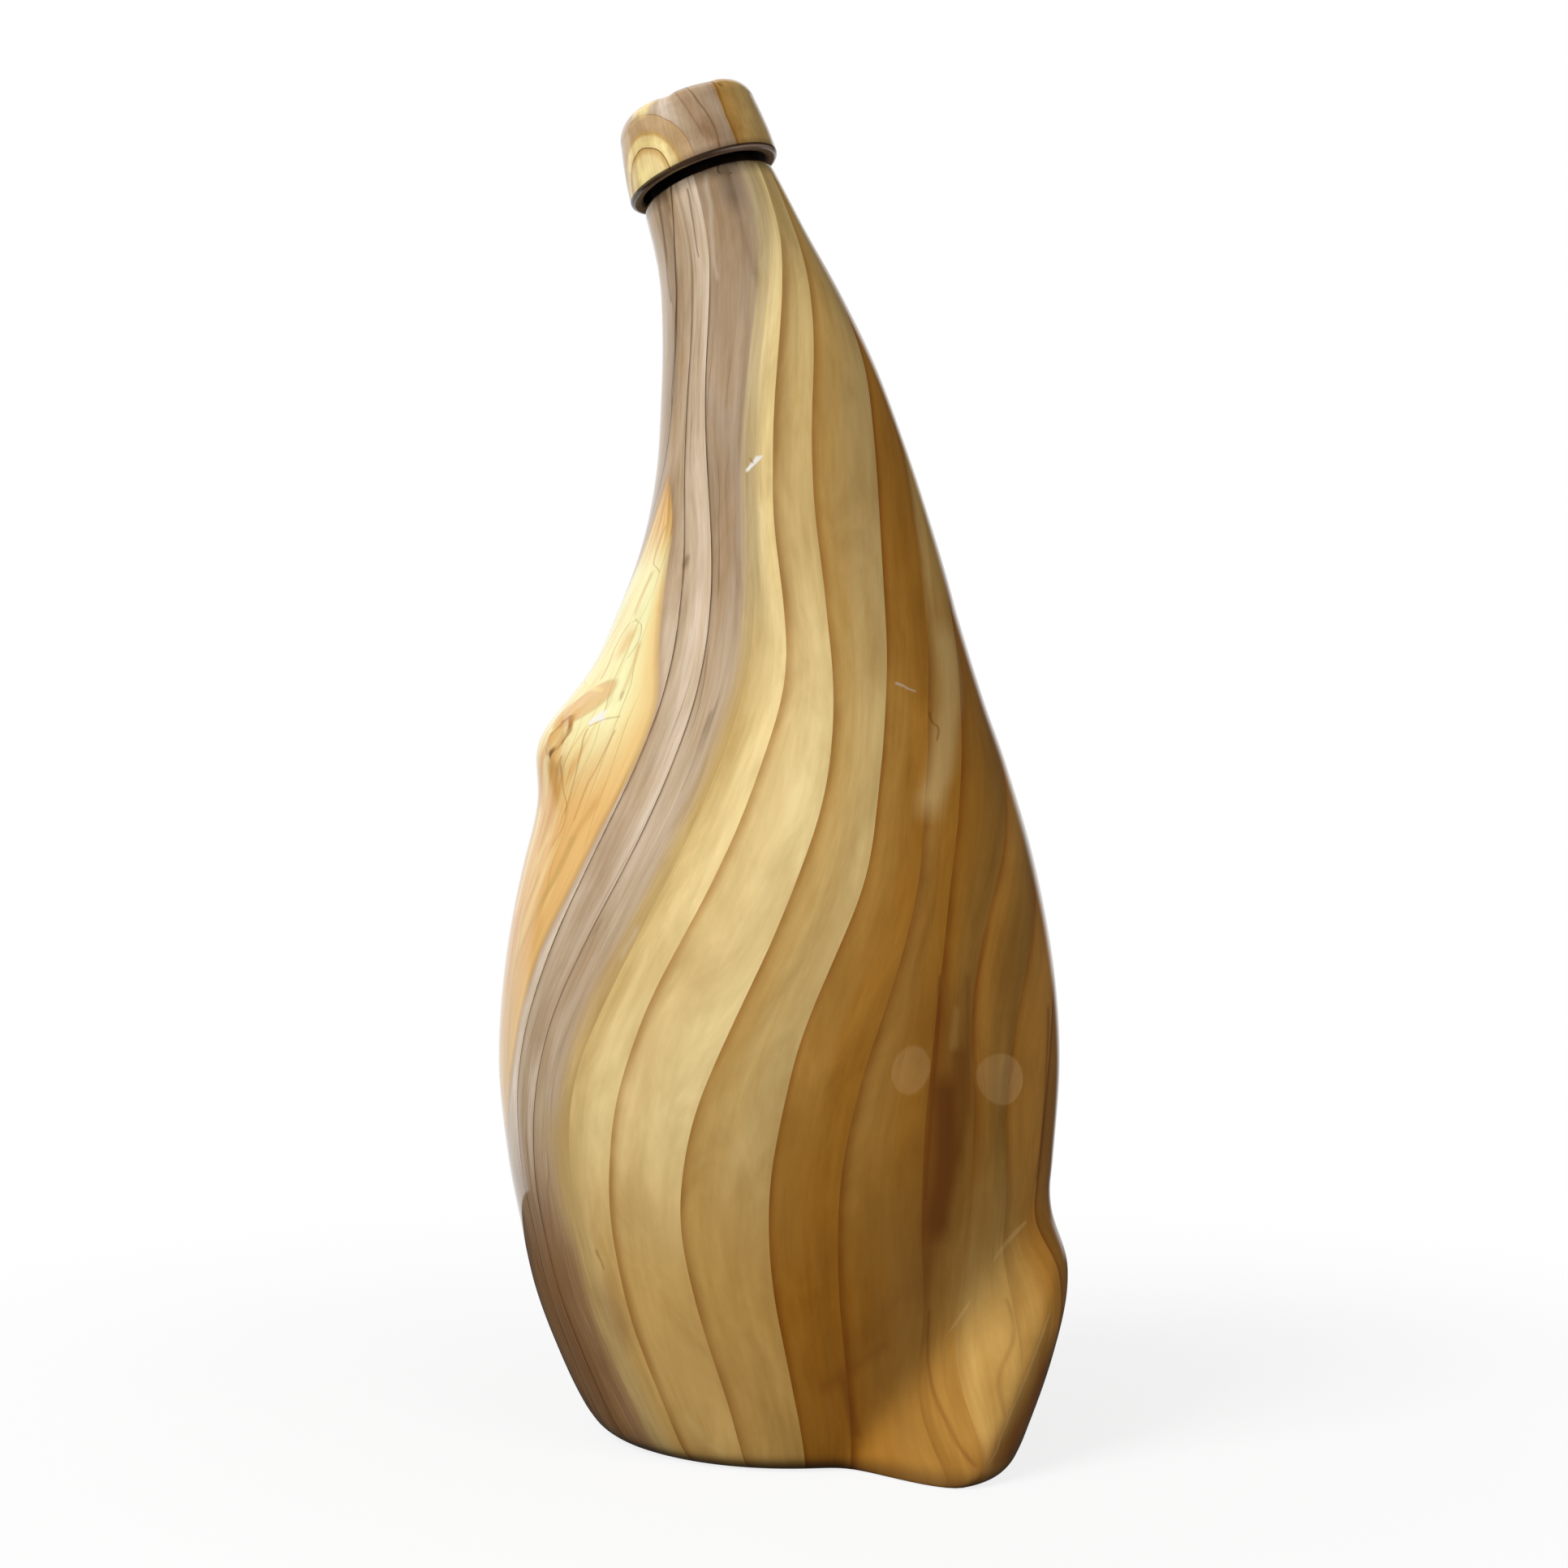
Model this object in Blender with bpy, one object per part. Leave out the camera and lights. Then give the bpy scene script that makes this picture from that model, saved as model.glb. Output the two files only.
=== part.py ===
# Free-form slip-cast bottle shaped like a leaning tree trunk, with a ceramic cap on a cork.
#
# The body is one hollow casting: its skin is lofted along a spine that stands upright and then
# bends over into the neck, a cut branch and a root swell out of it, and the cavity follows the
# skin one wall further in. The cap and its cork draw out of the bore along the neck's own line.
# Lengths are in metres, angles in degrees, +Z is up and the bottle is seen from the front along +Y.

import math

import bmesh
import bpy
from mathutils import Matrix, Vector

# Body, from the foot plane to the middle of the neck's flat shoulder
body_height = 0.2846
girth_height = 0.084
body_width = 0.130
body_depth = 0.108
foot_width = 0.0875
foot_depth = 0.094
neck_width = 0.0324
wall_thickness = 0.005
floor_thickness = 0.007
cavity_corner = 0.012

# Where the trunk stands, so that the origin is under the middle of the bottle's bounding box
trunk_x = 0.0008
trunk_y = 0.0032

# The bend that lays the neck over to the left and a little to the back
bend_start = 0.187
neck_lean = 20.5
neck_heading = 168.0
trunk_sway = 0.0015

# How the half width grows from foot to girth, as (share of that height, share of the growth)
foot_to_girth_shares = (
    (0.0, 0.0), (0.071, 0.20), (0.196, 0.42), (0.375, 0.66), (0.553, 0.80), (0.73, 0.915), (1.0, 1.0),
)
# How it falls again from girth to neck, as (share of the spine between them, share kept)
girth_to_neck_shares = (
    (0.0, 1.0), (0.111, 0.97), (0.222, 0.884), (0.333, 0.742), (0.407, 0.625), (0.518, 0.462),
    (0.598, 0.357), (0.682, 0.27), (0.765, 0.196), (0.845, 0.115), (0.922, 0.042), (1.0, 0.0),
)
# How far the trunk's middle strays sideways, as (share of the spine, share of the sway)
sway_shares = ((0.0, 1.0), (0.12, 0.0), (0.3, -0.7), (0.53, -0.5), (0.7, 0.7), (0.85, 0.8), (1.0, -0.1))

# The root that swells out of the front right, with a steep flank to the left and a long one right
root_reach = 0.0260
root_height = 0.057
root_azimuth = -57.5
root_twist = 43.0
root_steep_flank = 7.0
root_long_flank = 20.0
root_fade_shares = (
    (0.0, 1.0), (0.16, 0.79), (0.36, 0.61), (0.68, 0.35), (0.86, 0.07), (1.0, 0.0),
)
root_cavity_share = 0.6

# The stub of a cut branch on the left
knot_height = 0.1575
knot_azimuth = 193.0
knot_reach = 0.0062
knot_rise = 0.0085
knot_fall = 0.0082
knot_across = 0.0125

# Foot: a flat unglazed ring round a shallow recess
foot_round = 0.003
foot_ring_width = 0.007
foot_recess = 0.0018

# Neck finish: a flat shoulder, and a lip that stands up inside the cap
shoulder_round = 0.0016
lip_radius = 0.0126
lip_height = 0.008
lip_round = 0.0012
bore_radius = 0.0096
bore_taper = 0.0005
bore_length = 0.016
bore_flare = 0.012

# Stopper: the cap stands off the shoulder, because the cork seats first
seat_gap = 0.0003
cap_stand_off = 0.0030
cap_radius = 0.0181
cap_top_radius = 0.0166
cap_height = 0.0179
cap_crown = 0.0011
cap_top_shift = 0.0012
cap_relief = 0.0010
cap_wall = 0.0030
cap_rim_round = 0.0009
cap_top_round = 0.0038
cap_cavity_depth = 0.0125
cap_draft = 0.0014
cap_cavity_corner = 0.0022
cork_socket_depth = 0.002
cork_insertion = 0.014
cork_head_radius = 0.0101
cork_chamfer = 0.0008

# How the cap's side draws in as it climbs, as (share of the side's height, share drawn in)
cap_side_shares = ((0.0, 0.0), (0.35, 0.2), (0.7, 0.58))
# How its top rises and falls from left to right, like an unevenly sawn log, as (share of the top's
# radius, share of the relief)
cap_relief_shares = (
    (-1.0, 0.4), (-0.75, 0.8), (-0.45, 0.55), (-0.2, -0.15), (-0.09, 0.2), (0.42, 0.3), (0.52, 0.6),
    (0.8, 0.7), (1.0, 0.3),
)

# Mesh counts
around = 56
crowding = 25.0
skin_stations = 42
cavity_stations = 17
round_steps = 3


def smooth_share(shares, position, start_slope=None, end_slope=None):
    """The value at a position on a smooth curve through (position, value) pairs."""
    slopes = []
    for i in range(len(shares)):
        before = shares[max(i - 1, 0)]
        after = shares[min(i + 1, len(shares) - 1)]
        slopes.append((after[1] - before[1]) / (after[0] - before[0]))
    if start_slope is not None:
        slopes[0] = start_slope
    if end_slope is not None:
        slopes[-1] = end_slope
    position = min(max(position, shares[0][0]), shares[-1][0])
    i = 0
    while i < len(shares) - 2 and position > shares[i + 1][0]:
        i += 1
    (low, low_value), (high, high_value) = shares[i], shares[i + 1]
    span = high - low
    t = (position - low) / span
    return (
        low_value * (1 + 2 * t) * (1 - t) ** 2
        + high_value * t * t * (3 - 2 * t)
        + slopes[i] * span * t * (1 - t) ** 2
        + slopes[i + 1] * span * t * t * (t - 1)
    )


# The spine: straight up to bend_start, then an arc that ends at the shoulder
lean = math.radians(neck_lean)
bend_radius = (body_height - bend_start) / math.sin(lean)
spine_length = bend_start + bend_radius * lean
heading = Vector((math.cos(math.radians(neck_heading)), math.sin(math.radians(neck_heading)), 0))
up = Vector((0, 0, 1))
right = Vector((1, 0, 0))


def spine_frame(along):
    """The section's frame at a length along the spine: its X runs right, its Z up the spine."""
    turned = max(along - bend_start, 0) / bend_radius
    sway = trunk_sway * smooth_share(sway_shares, along / spine_length)
    place = Vector((trunk_x + sway, trunk_y, min(along, bend_start)))
    place += heading * bend_radius * (1 - math.cos(turned))
    place += up * bend_radius * math.sin(turned)
    if along > spine_length:
        place += (heading * math.sin(lean) + up * math.cos(lean)) * (along - spine_length)
        place -= heading * bend_radius * (math.cos(lean) - math.cos(turned))
        place -= up * bend_radius * (math.sin(turned) - math.sin(lean))
        turned = lean
    axis = heading * math.sin(turned) + up * math.cos(turned)
    across = (right - axis * right.dot(axis)).normalized()
    frame = Matrix((across, axis.cross(across), axis)).transposed().to_4x4()
    frame.translation = place
    return frame


def half_size(along, foot, girth, neck):
    """Half of a section's width or depth, from the same size at the foot, the girth and the neck."""
    if along < girth_height:
        grown = smooth_share(foot_to_girth_shares, along / girth_height, end_slope=0)
        return (foot + (girth - foot) * grown) / 2
    travelled = (along - girth_height) / (spine_length - girth_height)
    kept = smooth_share(girth_to_neck_shares, travelled, start_slope=0)
    return (neck + (girth - neck) * kept) / 2


def root_relief(along, azimuth):
    """How far the root stands out of the trunk. Its ridge turns round the trunk as it rises."""
    if along >= root_height:
        return 0
    reach = root_reach * smooth_share(root_fade_shares, along / root_height, end_slope=0)
    off = azimuth - root_azimuth - root_twist * along / root_height
    off = (off + 180) % 360 - 180
    flank = root_steep_flank if off < 0 else root_long_flank
    return reach * math.exp(-((off / flank) ** 2) / 2)


def knot_relief(along, azimuth, girth_radius):
    """How far the branch stub stands out of the trunk."""
    climb = along - knot_height
    off = math.radians((azimuth - knot_azimuth + 180) % 360 - 180) * girth_radius
    length = knot_rise if climb > 0 else knot_fall
    return knot_reach * math.exp(-((climb / length) ** 2 + (off / knot_across) ** 2) / 2)


def skin_point(along, azimuth, inset=0, root_share=1):
    """A point of the body's skin, or one that far inside it, in its section's own plane."""
    half_width = half_size(along, foot_width, body_width, neck_width)
    half_depth = half_size(along, foot_depth, body_depth, neck_width)
    turn = math.radians(azimuth)
    relief = root_relief(along, azimuth) * root_share + knot_relief(along, azimuth, half_width)
    return Vector((
        (half_width - inset + relief) * math.cos(turn),
        (half_depth - inset + relief) * math.sin(turn),
        0,
    ))


def azimuths():
    """One turn of section points, which stand closer together on the root's side."""
    middle = root_azimuth + root_twist / 2
    turns = [360 * i / around for i in range(around)]
    return [middle + turn - crowding * math.sin(math.radians(turn)) for turn in turns]


def section_turns():
    return [math.radians(azimuth) for azimuth in azimuths()]


def skin_ring(along, inset=0, root_share=1):
    frame = spine_frame(along)
    return [frame @ skin_point(along, azimuth, inset, root_share) for azimuth in azimuths()]


def foot_ring(height, inset):
    """A level ring of the foot's own outline."""
    level = up * height
    return [spine_frame(0) @ skin_point(0, azimuth, inset) + level for azimuth in azimuths()]


def neck_ring(along, radius):
    frame = spine_frame(along)
    return [
        frame @ Vector((radius * math.cos(turn), radius * math.sin(turn), 0)) for turn in section_turns()
    ]


def blended_ring(first, second, share):
    return [a.lerp(b, share) for a, b in zip(first, second)]


def eased(share):
    return share * share * (3 - 2 * share)


def quarter(steps=round_steps):
    """Sine and cosine at even steps of a quarter turn, its end left out."""
    turns = [math.pi / 2 * i / steps for i in range(steps)]
    return [(math.sin(turn), math.cos(turn)) for turn in turns]


def even_steps(start, end, count):
    return [start + (end - start) * i / (count - 1) for i in range(count)]


def lofted(mesh_name, first_pole, rings, last_pole):
    """A closed mesh through rings of equal count, drawn together to a point at either end."""
    shape = bmesh.new()
    loops = [[shape.verts.new(point) for point in ring] for ring in rings]
    for lower, upper in zip(loops, loops[1:]):
        for i in range(len(lower)):
            j = (i + 1) % len(lower)
            shape.faces.new((lower[i], lower[j], upper[j], upper[i]))
    for pole, loop, turned in ((first_pole, loops[0], True), (last_pole, loops[-1], False)):
        tip = shape.verts.new(pole)
        for i in range(len(loop)):
            j = (i + 1) % len(loop)
            shape.faces.new((loop[j], loop[i], tip) if turned else (loop[i], loop[j], tip))
    bmesh.ops.recalc_face_normals(shape, faces=shape.faces)
    mesh = bpy.data.meshes.new(mesh_name)
    shape.to_mesh(mesh)
    shape.free()
    mesh.shade_smooth()
    return mesh


def finish(name, colour, roughness):
    material = bpy.data.materials.new(name)
    material.use_nodes = True
    shader = material.node_tree.nodes["Principled BSDF"]
    shader.inputs["Base Color"].default_value = (*colour, 1)
    shader.inputs["Roughness"].default_value = roughness
    shader.inputs["Metallic"].default_value = 0
    material.diffuse_color = (*colour, 1)
    return material


def placed(name, mesh, material, parent=None):
    piece = bpy.data.objects.new(name, mesh)
    bpy.context.scene.collection.objects.link(piece)
    mesh.materials.append(material)
    piece.parent = parent
    return piece


def body_skin():
    """The outside, from the middle of the foot up to the shoulder's inner edge."""
    ring_inset = foot_round + foot_ring_width
    rings = [
        foot_ring(foot_recess, ring_inset + foot_recess),
        foot_ring(0, ring_inset),
        foot_ring(0, foot_round),
    ]
    for sine, cosine in quarter()[1:]:
        lifted = foot_round * (1 - cosine)
        rings.append(skin_ring(lifted, foot_round * (1 - sine)))
    top = spine_length - shoulder_round
    rings += [skin_ring(along) for along in even_steps(foot_round, top, skin_stations)]
    for sine, cosine in quarter()[1:]:
        rings.append(skin_ring(top + shoulder_round * sine, shoulder_round * (1 - cosine)))
    rings.append(skin_ring(spine_length, shoulder_round))
    return rings


def neck_finish():
    """The lip that stands on the shoulder, over its rim and down the bore."""
    lip_top = spine_length + lip_height
    rings = [neck_ring(spine_length, lip_radius)]
    for sine, cosine in quarter():
        rings.append(neck_ring(lip_top - lip_round * (1 - sine), lip_radius - lip_round * (1 - cosine)))
    rings.append(neck_ring(lip_top, lip_radius - lip_round))
    for sine, cosine in quarter():
        rings.append(neck_ring(lip_top - lip_round * (1 - cosine), bore_radius + lip_round * (1 - sine)))
    rings.append(neck_ring(lip_top - lip_round, bore_radius))
    rings.append(neck_ring(lip_top - bore_length, bore_radius - bore_taper))
    return rings


def cavity():
    """The inside, from the bore's lower end down to the floor."""
    bore_end = spine_length + lip_height - bore_length
    throat = bore_end - bore_flare
    rings = []
    for share in (0.25, 0.5, 0.75):
        along = bore_end - bore_flare * share
        bore = neck_ring(along, bore_radius - bore_taper)
        rings.append(blended_ring(bore, skin_ring(along, wall_thickness), eased(share)))
    corner_top = floor_thickness + cavity_corner
    for along in even_steps(throat, corner_top, cavity_stations):
        rings.append(skin_ring(along, wall_thickness, root_cavity_share))
    for sine, cosine in quarter(4)[1:]:
        along = corner_top - cavity_corner * sine
        rings.append(skin_ring(along, wall_thickness + cavity_corner * (1 - cosine), root_cavity_share))
    rings.append(skin_ring(floor_thickness, wall_thickness + cavity_corner, root_cavity_share))
    return rings


def make_body(material):
    base = spine_frame(0).translation
    rings = body_skin() + neck_finish() + cavity()
    mesh = lofted("bottle_body", base + up * foot_recess, rings, base + up * floor_thickness)
    return placed("bottle_body", mesh, material)


def turned_rings(profile):
    """Rings of a turned shape, from (radius, height) pairs."""
    return [
        [Vector((radius * math.cos(turn), radius * math.sin(turn), height)) for turn in section_turns()]
        for radius, height in profile
    ]


def cork_radius_at(height):
    """The bore's radius less the seat gap, at a height above the cap's rim."""
    depth = lip_height - cap_stand_off - height
    return bore_radius - seat_gap - bore_taper * min(max(depth, 0), bore_length) / bore_length


def cap_inside():
    """The cap's hollow, from the cork's socket in its ceiling down and round to the rim's bottom."""
    rim_mouth = cap_radius - cap_wall
    ceiling = cap_cavity_depth
    inside = rim_mouth - cap_draft
    socket = cork_head_radius + seat_gap
    profile = [(socket, ceiling + cork_socket_depth), (socket, ceiling)]
    for sine, cosine in quarter():
        profile.append((
            inside - cap_cavity_corner * (1 - sine),
            ceiling - cap_cavity_corner * (1 - cosine),
        ))
    profile.append((inside, ceiling - cap_cavity_corner))
    profile.append((rim_mouth - cap_draft * cap_rim_round / ceiling, cap_rim_round))
    for sine, cosine in quarter()[1:]:
        profile.append((rim_mouth + cap_rim_round * (1 - cosine), cap_rim_round * (1 - sine)))
    profile.append((rim_mouth + cap_rim_round, 0))
    return profile


def cap_outside():
    """The cap's outside, from the rim's bottom up the drawn-in side and over to the crown."""
    profile = [(cap_radius - cap_rim_round, 0)]
    for sine, cosine in quarter()[1:]:
        profile.append((cap_radius - cap_rim_round * (1 - sine), cap_rim_round * (1 - cosine)))
    side_top = cap_height - cap_top_round
    for climbed, drawn_in in cap_side_shares:
        profile.append((
            cap_radius - (cap_radius - cap_top_radius) * drawn_in,
            cap_rim_round + (side_top - cap_rim_round) * climbed,
        ))
    for sine, cosine in quarter(5):
        profile.append((
            cap_top_radius - cap_top_round * (1 - cosine),
            side_top + cap_top_round * sine,
        ))
    flat = cap_top_radius - cap_top_round
    for share in (1, 0.75, 0.5, 0.25):
        profile.append((flat * share, cap_height + cap_crown * (1 - share**2)))
    return profile


def cap_point(turn, radius, height):
    """A point of the cap's outside. Its top stands a little to the right, and is uneven."""
    aside = radius * math.cos(turn)
    relief = cap_relief * smooth_share(cap_relief_shares, aside / cap_top_radius)
    risen = (height - cap_height + cap_top_round) / cap_top_round
    return Vector((
        aside + cap_top_shift * height / cap_height,
        radius * math.sin(turn),
        height + relief * eased(min(max(risen, 0), 1)),
    ))


def make_cap(material, parent):
    """The cap: a thick drafted cup, upside down, whose ceiling has a socket for the cork."""
    rings = turned_rings(cap_inside())
    for radius, height in cap_outside():
        rings.append([cap_point(turn, radius, height) for turn in section_turns()])
    mesh = lofted(
        "stopper_cap",
        Vector((0, 0, cap_cavity_depth + cork_socket_depth)),
        rings,
        cap_point(0, 0, cap_height + cap_crown),
    )
    return placed("stopper_cap", mesh, material, parent)


def make_cork(material, parent):
    """The cork: its head is glued into the cap's socket and its tapered shank fills the bore."""
    head = cap_cavity_depth + cork_socket_depth - seat_gap
    foot = lip_height - cap_stand_off - cork_insertion
    lip_top = lip_height - cap_stand_off
    profile = [
        (cork_radius_at(foot) - cork_chamfer, foot),
        (cork_radius_at(foot), foot + cork_chamfer),
        (cork_radius_at(lip_top), lip_top),
        (cork_head_radius, cap_cavity_depth - cork_chamfer),
        (cork_head_radius, head - cork_chamfer),
        (cork_head_radius - cork_chamfer, head),
    ]
    mesh = lofted("cork", Vector((0, 0, foot)), turned_rings(profile), Vector((0, 0, head)))
    mesh.set_sharp_from_angle(angle=math.radians(30))
    return placed("cork", mesh, material, parent)


def make_bottle():
    glaze = finish("faux_bois_glaze", (0.52, 0.33, 0.12), 0.12)
    cap_glaze = finish("cap_glaze", (0.42, 0.30, 0.17), 0.12)
    cork_bark = finish("natural_cork", (0.46, 0.27, 0.13), 0.85)
    make_body(glaze)
    stopper = bpy.data.objects.new("stopper", None)
    bpy.context.scene.collection.objects.link(stopper)
    stopper.matrix_world = spine_frame(spine_length + cap_stand_off)
    make_cap(cap_glaze, stopper)
    make_cork(cork_bark, stopper)


for leftover in list(bpy.data.objects):
    bpy.data.objects.remove(leftover)
make_bottle()
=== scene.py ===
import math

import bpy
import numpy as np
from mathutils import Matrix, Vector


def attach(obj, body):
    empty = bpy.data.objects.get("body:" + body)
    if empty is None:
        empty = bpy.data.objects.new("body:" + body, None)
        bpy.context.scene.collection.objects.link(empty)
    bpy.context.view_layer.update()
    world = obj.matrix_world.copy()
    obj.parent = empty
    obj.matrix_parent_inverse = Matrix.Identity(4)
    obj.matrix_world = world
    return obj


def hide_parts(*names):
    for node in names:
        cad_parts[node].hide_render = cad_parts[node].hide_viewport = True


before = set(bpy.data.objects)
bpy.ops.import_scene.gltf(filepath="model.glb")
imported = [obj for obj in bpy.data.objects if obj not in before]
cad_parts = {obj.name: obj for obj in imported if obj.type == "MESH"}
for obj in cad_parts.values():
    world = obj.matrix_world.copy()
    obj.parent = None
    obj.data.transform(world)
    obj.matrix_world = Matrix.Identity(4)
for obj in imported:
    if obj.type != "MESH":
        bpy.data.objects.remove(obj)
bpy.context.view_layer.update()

# A glazed ceramic bottle like a leaning tree trunk, painted by hand with wood grain, and its stopper.
# Lengths are in metres, angles in degrees. "Along" is the length along the bottle's bent spine and
# "azimuth" the angle round it: 180 is left, 270 front, 360 right. Paint is measured in millimetres.

print("frame loaded")

millimetre = 0.001


# Curves

def smoothCurve(points, position, startSlope=None, endSlope=None):
    # a smooth curve through (position, value) pairs, level beyond its ends
    places, values = np.array(points, float).T
    slopes = np.empty(len(places))
    slopes[1:-1] = (values[2:] - values[:-2]) / (places[2:] - places[:-2])
    slopes[0] = (values[1] - values[0]) / (places[1] - places[0])
    slopes[-1] = (values[-1] - values[-2]) / (places[-1] - places[-2])
    if startSlope is not None:
        slopes[0] = startSlope
    if endSlope is not None:
        slopes[-1] = endSlope
    position = np.clip(position, places[0], places[-1])
    low = np.clip(np.searchsorted(places, position) - 1, 0, len(places) - 2)
    span = places[low + 1] - places[low]
    t = (position - places[low]) / span
    return (
        values[low] * (1 + 2 * t) * (1 - t) ** 2
        + values[low + 1] * t * t * (3 - 2 * t)
        + slopes[low] * span * t * (1 - t) ** 2
        + slopes[low + 1] * span * t * t * (t - 1)
    )


def bell(distance, width):
    return np.exp(-((distance / width) ** 2) / 2)


def eased(share):
    share = np.clip(share, 0, 1)
    return share * share * (3 - 2 * share)


def crowdedSteps(start, end, count, crowds):
    # places that stand closer together near each (middle, width, extra) of the crowds
    fine = np.linspace(start, end, 4000)
    density = np.ones_like(fine)
    for middle, width, extra in crowds:
        density += extra * bell(fine - middle, width)
    climbed = np.concatenate(([0], np.cumsum((density[1:] + density[:-1]) / 2)))
    return np.interp(np.linspace(0, climbed[-1], count), climbed, fine)


def unit(vector):
    return vector / np.linalg.norm(vector)


# The bottle's shape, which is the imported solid's own

trunk = {
    "bodyHeight": 0.2846,
    "girthHeight": 0.084,
    "footWidth": 0.0875,
    "footDepth": 0.094,
    "bodyWidth": 0.130,
    "bodyDepth": 0.108,
    "neckWidth": 0.0324,
    "wall": 0.005,
    "floorThickness": 0.007,
    "cavityCorner": 0.012,
    "place": (0.0008, 0.0032),
    "bendStart": 0.187,
    "neckLean": 20.5,
    "neckHeading": 168.0,
    "sway": 0.0015,
    "footToGirthShares": (
        (0.0, 0.0), (0.071, 0.20), (0.196, 0.42), (0.375, 0.66), (0.553, 0.80), (0.73, 0.915), (1.0, 1.0),
    ),
    "girthToNeckShares": (
        (0.0, 1.0), (0.111, 0.97), (0.222, 0.884), (0.333, 0.742), (0.407, 0.625), (0.518, 0.462),
        (0.598, 0.357), (0.682, 0.27), (0.765, 0.196), (0.845, 0.115), (0.922, 0.042), (1.0, 0.0),
    ),
    "swayShares": ((0.0, 1.0), (0.12, 0.0), (0.3, -0.7), (0.53, -0.5), (0.7, 0.7), (0.85, 0.8), (1.0, -0.1)),
    "footRound": 0.003,
    "footRingWidth": 0.007,
    "footRecess": 0.0018,
    "shoulderRound": 0.0016,
    "shoulderLift": 0.0012,  # above the solid's, for a gap under the cap as narrow as the photo's
    "around": 256,
    "skinStations": 330,
    # azimuths where mesh columns crowd together: middle, width and extra density
    "columnCrowds": ((205, 24, 0.9), (324, 30, 0.5)),
    "skinInset": 0.00015,
    "unevenness": 0.00035,
}
root = {
    "reach": 0.0260,
    "height": 0.057,
    "azimuth": -57.5,
    "twist": 43.0,
    "steepFlank": 7.0,
    "longFlank": 20.0,
    "fadeShares": ((0.0, 1.0), (0.16, 0.79), (0.36, 0.61), (0.68, 0.35), (0.86, 0.07), (1.0, 0.0)),
    "cavityShare": 0.6,
    "ringCrowd": (0.015, 0.02, 0.5),  # where mesh rings crowd together: middle, width and extra density
}
knot = {
    "height": 0.1575,
    "azimuth": 193.0,
    "reach": 0.0062,
    "rise": 0.0085,
    "fall": 0.0082,
    "across": 0.0125,
    "eyePlace": (9.0, 0.5),
    "eyeSize": (1.9, 4.6),
    "eyeTurn": -28.0,
    "eyeDepth": 0.0004,
    "collarHeight": 0.0004,
    "creaseFrom": (19.0, 7.0),
    "creaseTo": (10.5, -3.5),
    "creaseDepth": 0.0006,
    "creaseWidth": 1.6,
    "ringCrowd": (0.016, 1.1),  # the same round its height: width and extra density
}
neckFinish = {
    "lipRadius": 0.0126,
    "lipHeight": 0.008,
    "lipRound": 0.0012,
    "boreRadius": 0.0096,
    "boreTaper": 0.0005,
    "boreLength": 0.016,
    "boreFlare": 0.012,
}

lean = math.radians(trunk["neckLean"])
bendRadius = (trunk["bodyHeight"] - trunk["bendStart"]) / math.sin(lean)
spineLength = trunk["bendStart"] + bendRadius * lean
headingAngle = math.radians(trunk["neckHeading"])
heading = np.array((math.cos(headingAngle), math.sin(headingAngle), 0))
up = np.array((0.0, 0.0, 1.0))
right = np.array((1.0, 0.0, 0.0))


def spineFrame(along):
    # the spine's point at a length along it, and the section's two directions and axis there
    turned = max(min(along, spineLength) - trunk["bendStart"], 0) / bendRadius
    sway = trunk["sway"] * smoothCurve(trunk["swayShares"], along / spineLength)
    place = np.array((trunk["place"][0] + sway, trunk["place"][1], min(along, trunk["bendStart"])))
    place += bendRadius * ((1 - math.cos(turned)) * heading + math.sin(turned) * up)
    axis = math.sin(turned) * heading + math.cos(turned) * up
    if along > spineLength:
        place += axis * (along - spineLength)
    across = unit(right - axis * right.dot(axis))
    return place, across, np.cross(axis, across), axis


def halfSize(along, foot, girth, neck):
    if along < trunk["girthHeight"]:
        grown = smoothCurve(trunk["footToGirthShares"], along / trunk["girthHeight"], endSlope=0)
        return (foot + (girth - foot) * grown) / 2
    travelled = (along - trunk["girthHeight"]) / (spineLength - trunk["girthHeight"])
    kept = smoothCurve(trunk["girthToNeckShares"], travelled, startSlope=0)
    return (neck + (girth - neck) * kept) / 2


def halfWidthAt(along):
    return halfSize(along, trunk["footWidth"], trunk["bodyWidth"], trunk["neckWidth"])


def halfDepthAt(along):
    return halfSize(along, trunk["footDepth"], trunk["bodyDepth"], trunk["neckWidth"])


def rootRelief(along, azimuths):
    share = along / root["height"]
    reach = root["reach"] * smoothCurve(root["fadeShares"], share, endSlope=0) * (share < 1)
    off = (azimuths - root["azimuth"] - root["twist"] * share + 180) % 360 - 180
    return reach * bell(off, np.where(off < 0, root["steepFlank"], root["longFlank"]))


def knotPlace(along, azimuths):
    # millimetres round the trunk and up it from the middle of the branch stub
    radius = halfWidthAt(along)
    across = np.radians(azimuths - knot["azimuth"]) * radius / millimetre
    return across, (along - knot["height"]) / millimetre + 0 * across


def knotRelief(along, azimuths):
    across, climb = knotPlace(along, (azimuths - knot["azimuth"] + 180) % 360 - 180 + knot["azimuth"])
    length = knot["rise"] if along > knot["height"] else knot["fall"]
    stub = knot["reach"] * bell(climb, length / millimetre) * bell(across, knot["across"] / millimetre)
    return stub + knotCarving(across, climb)


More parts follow.
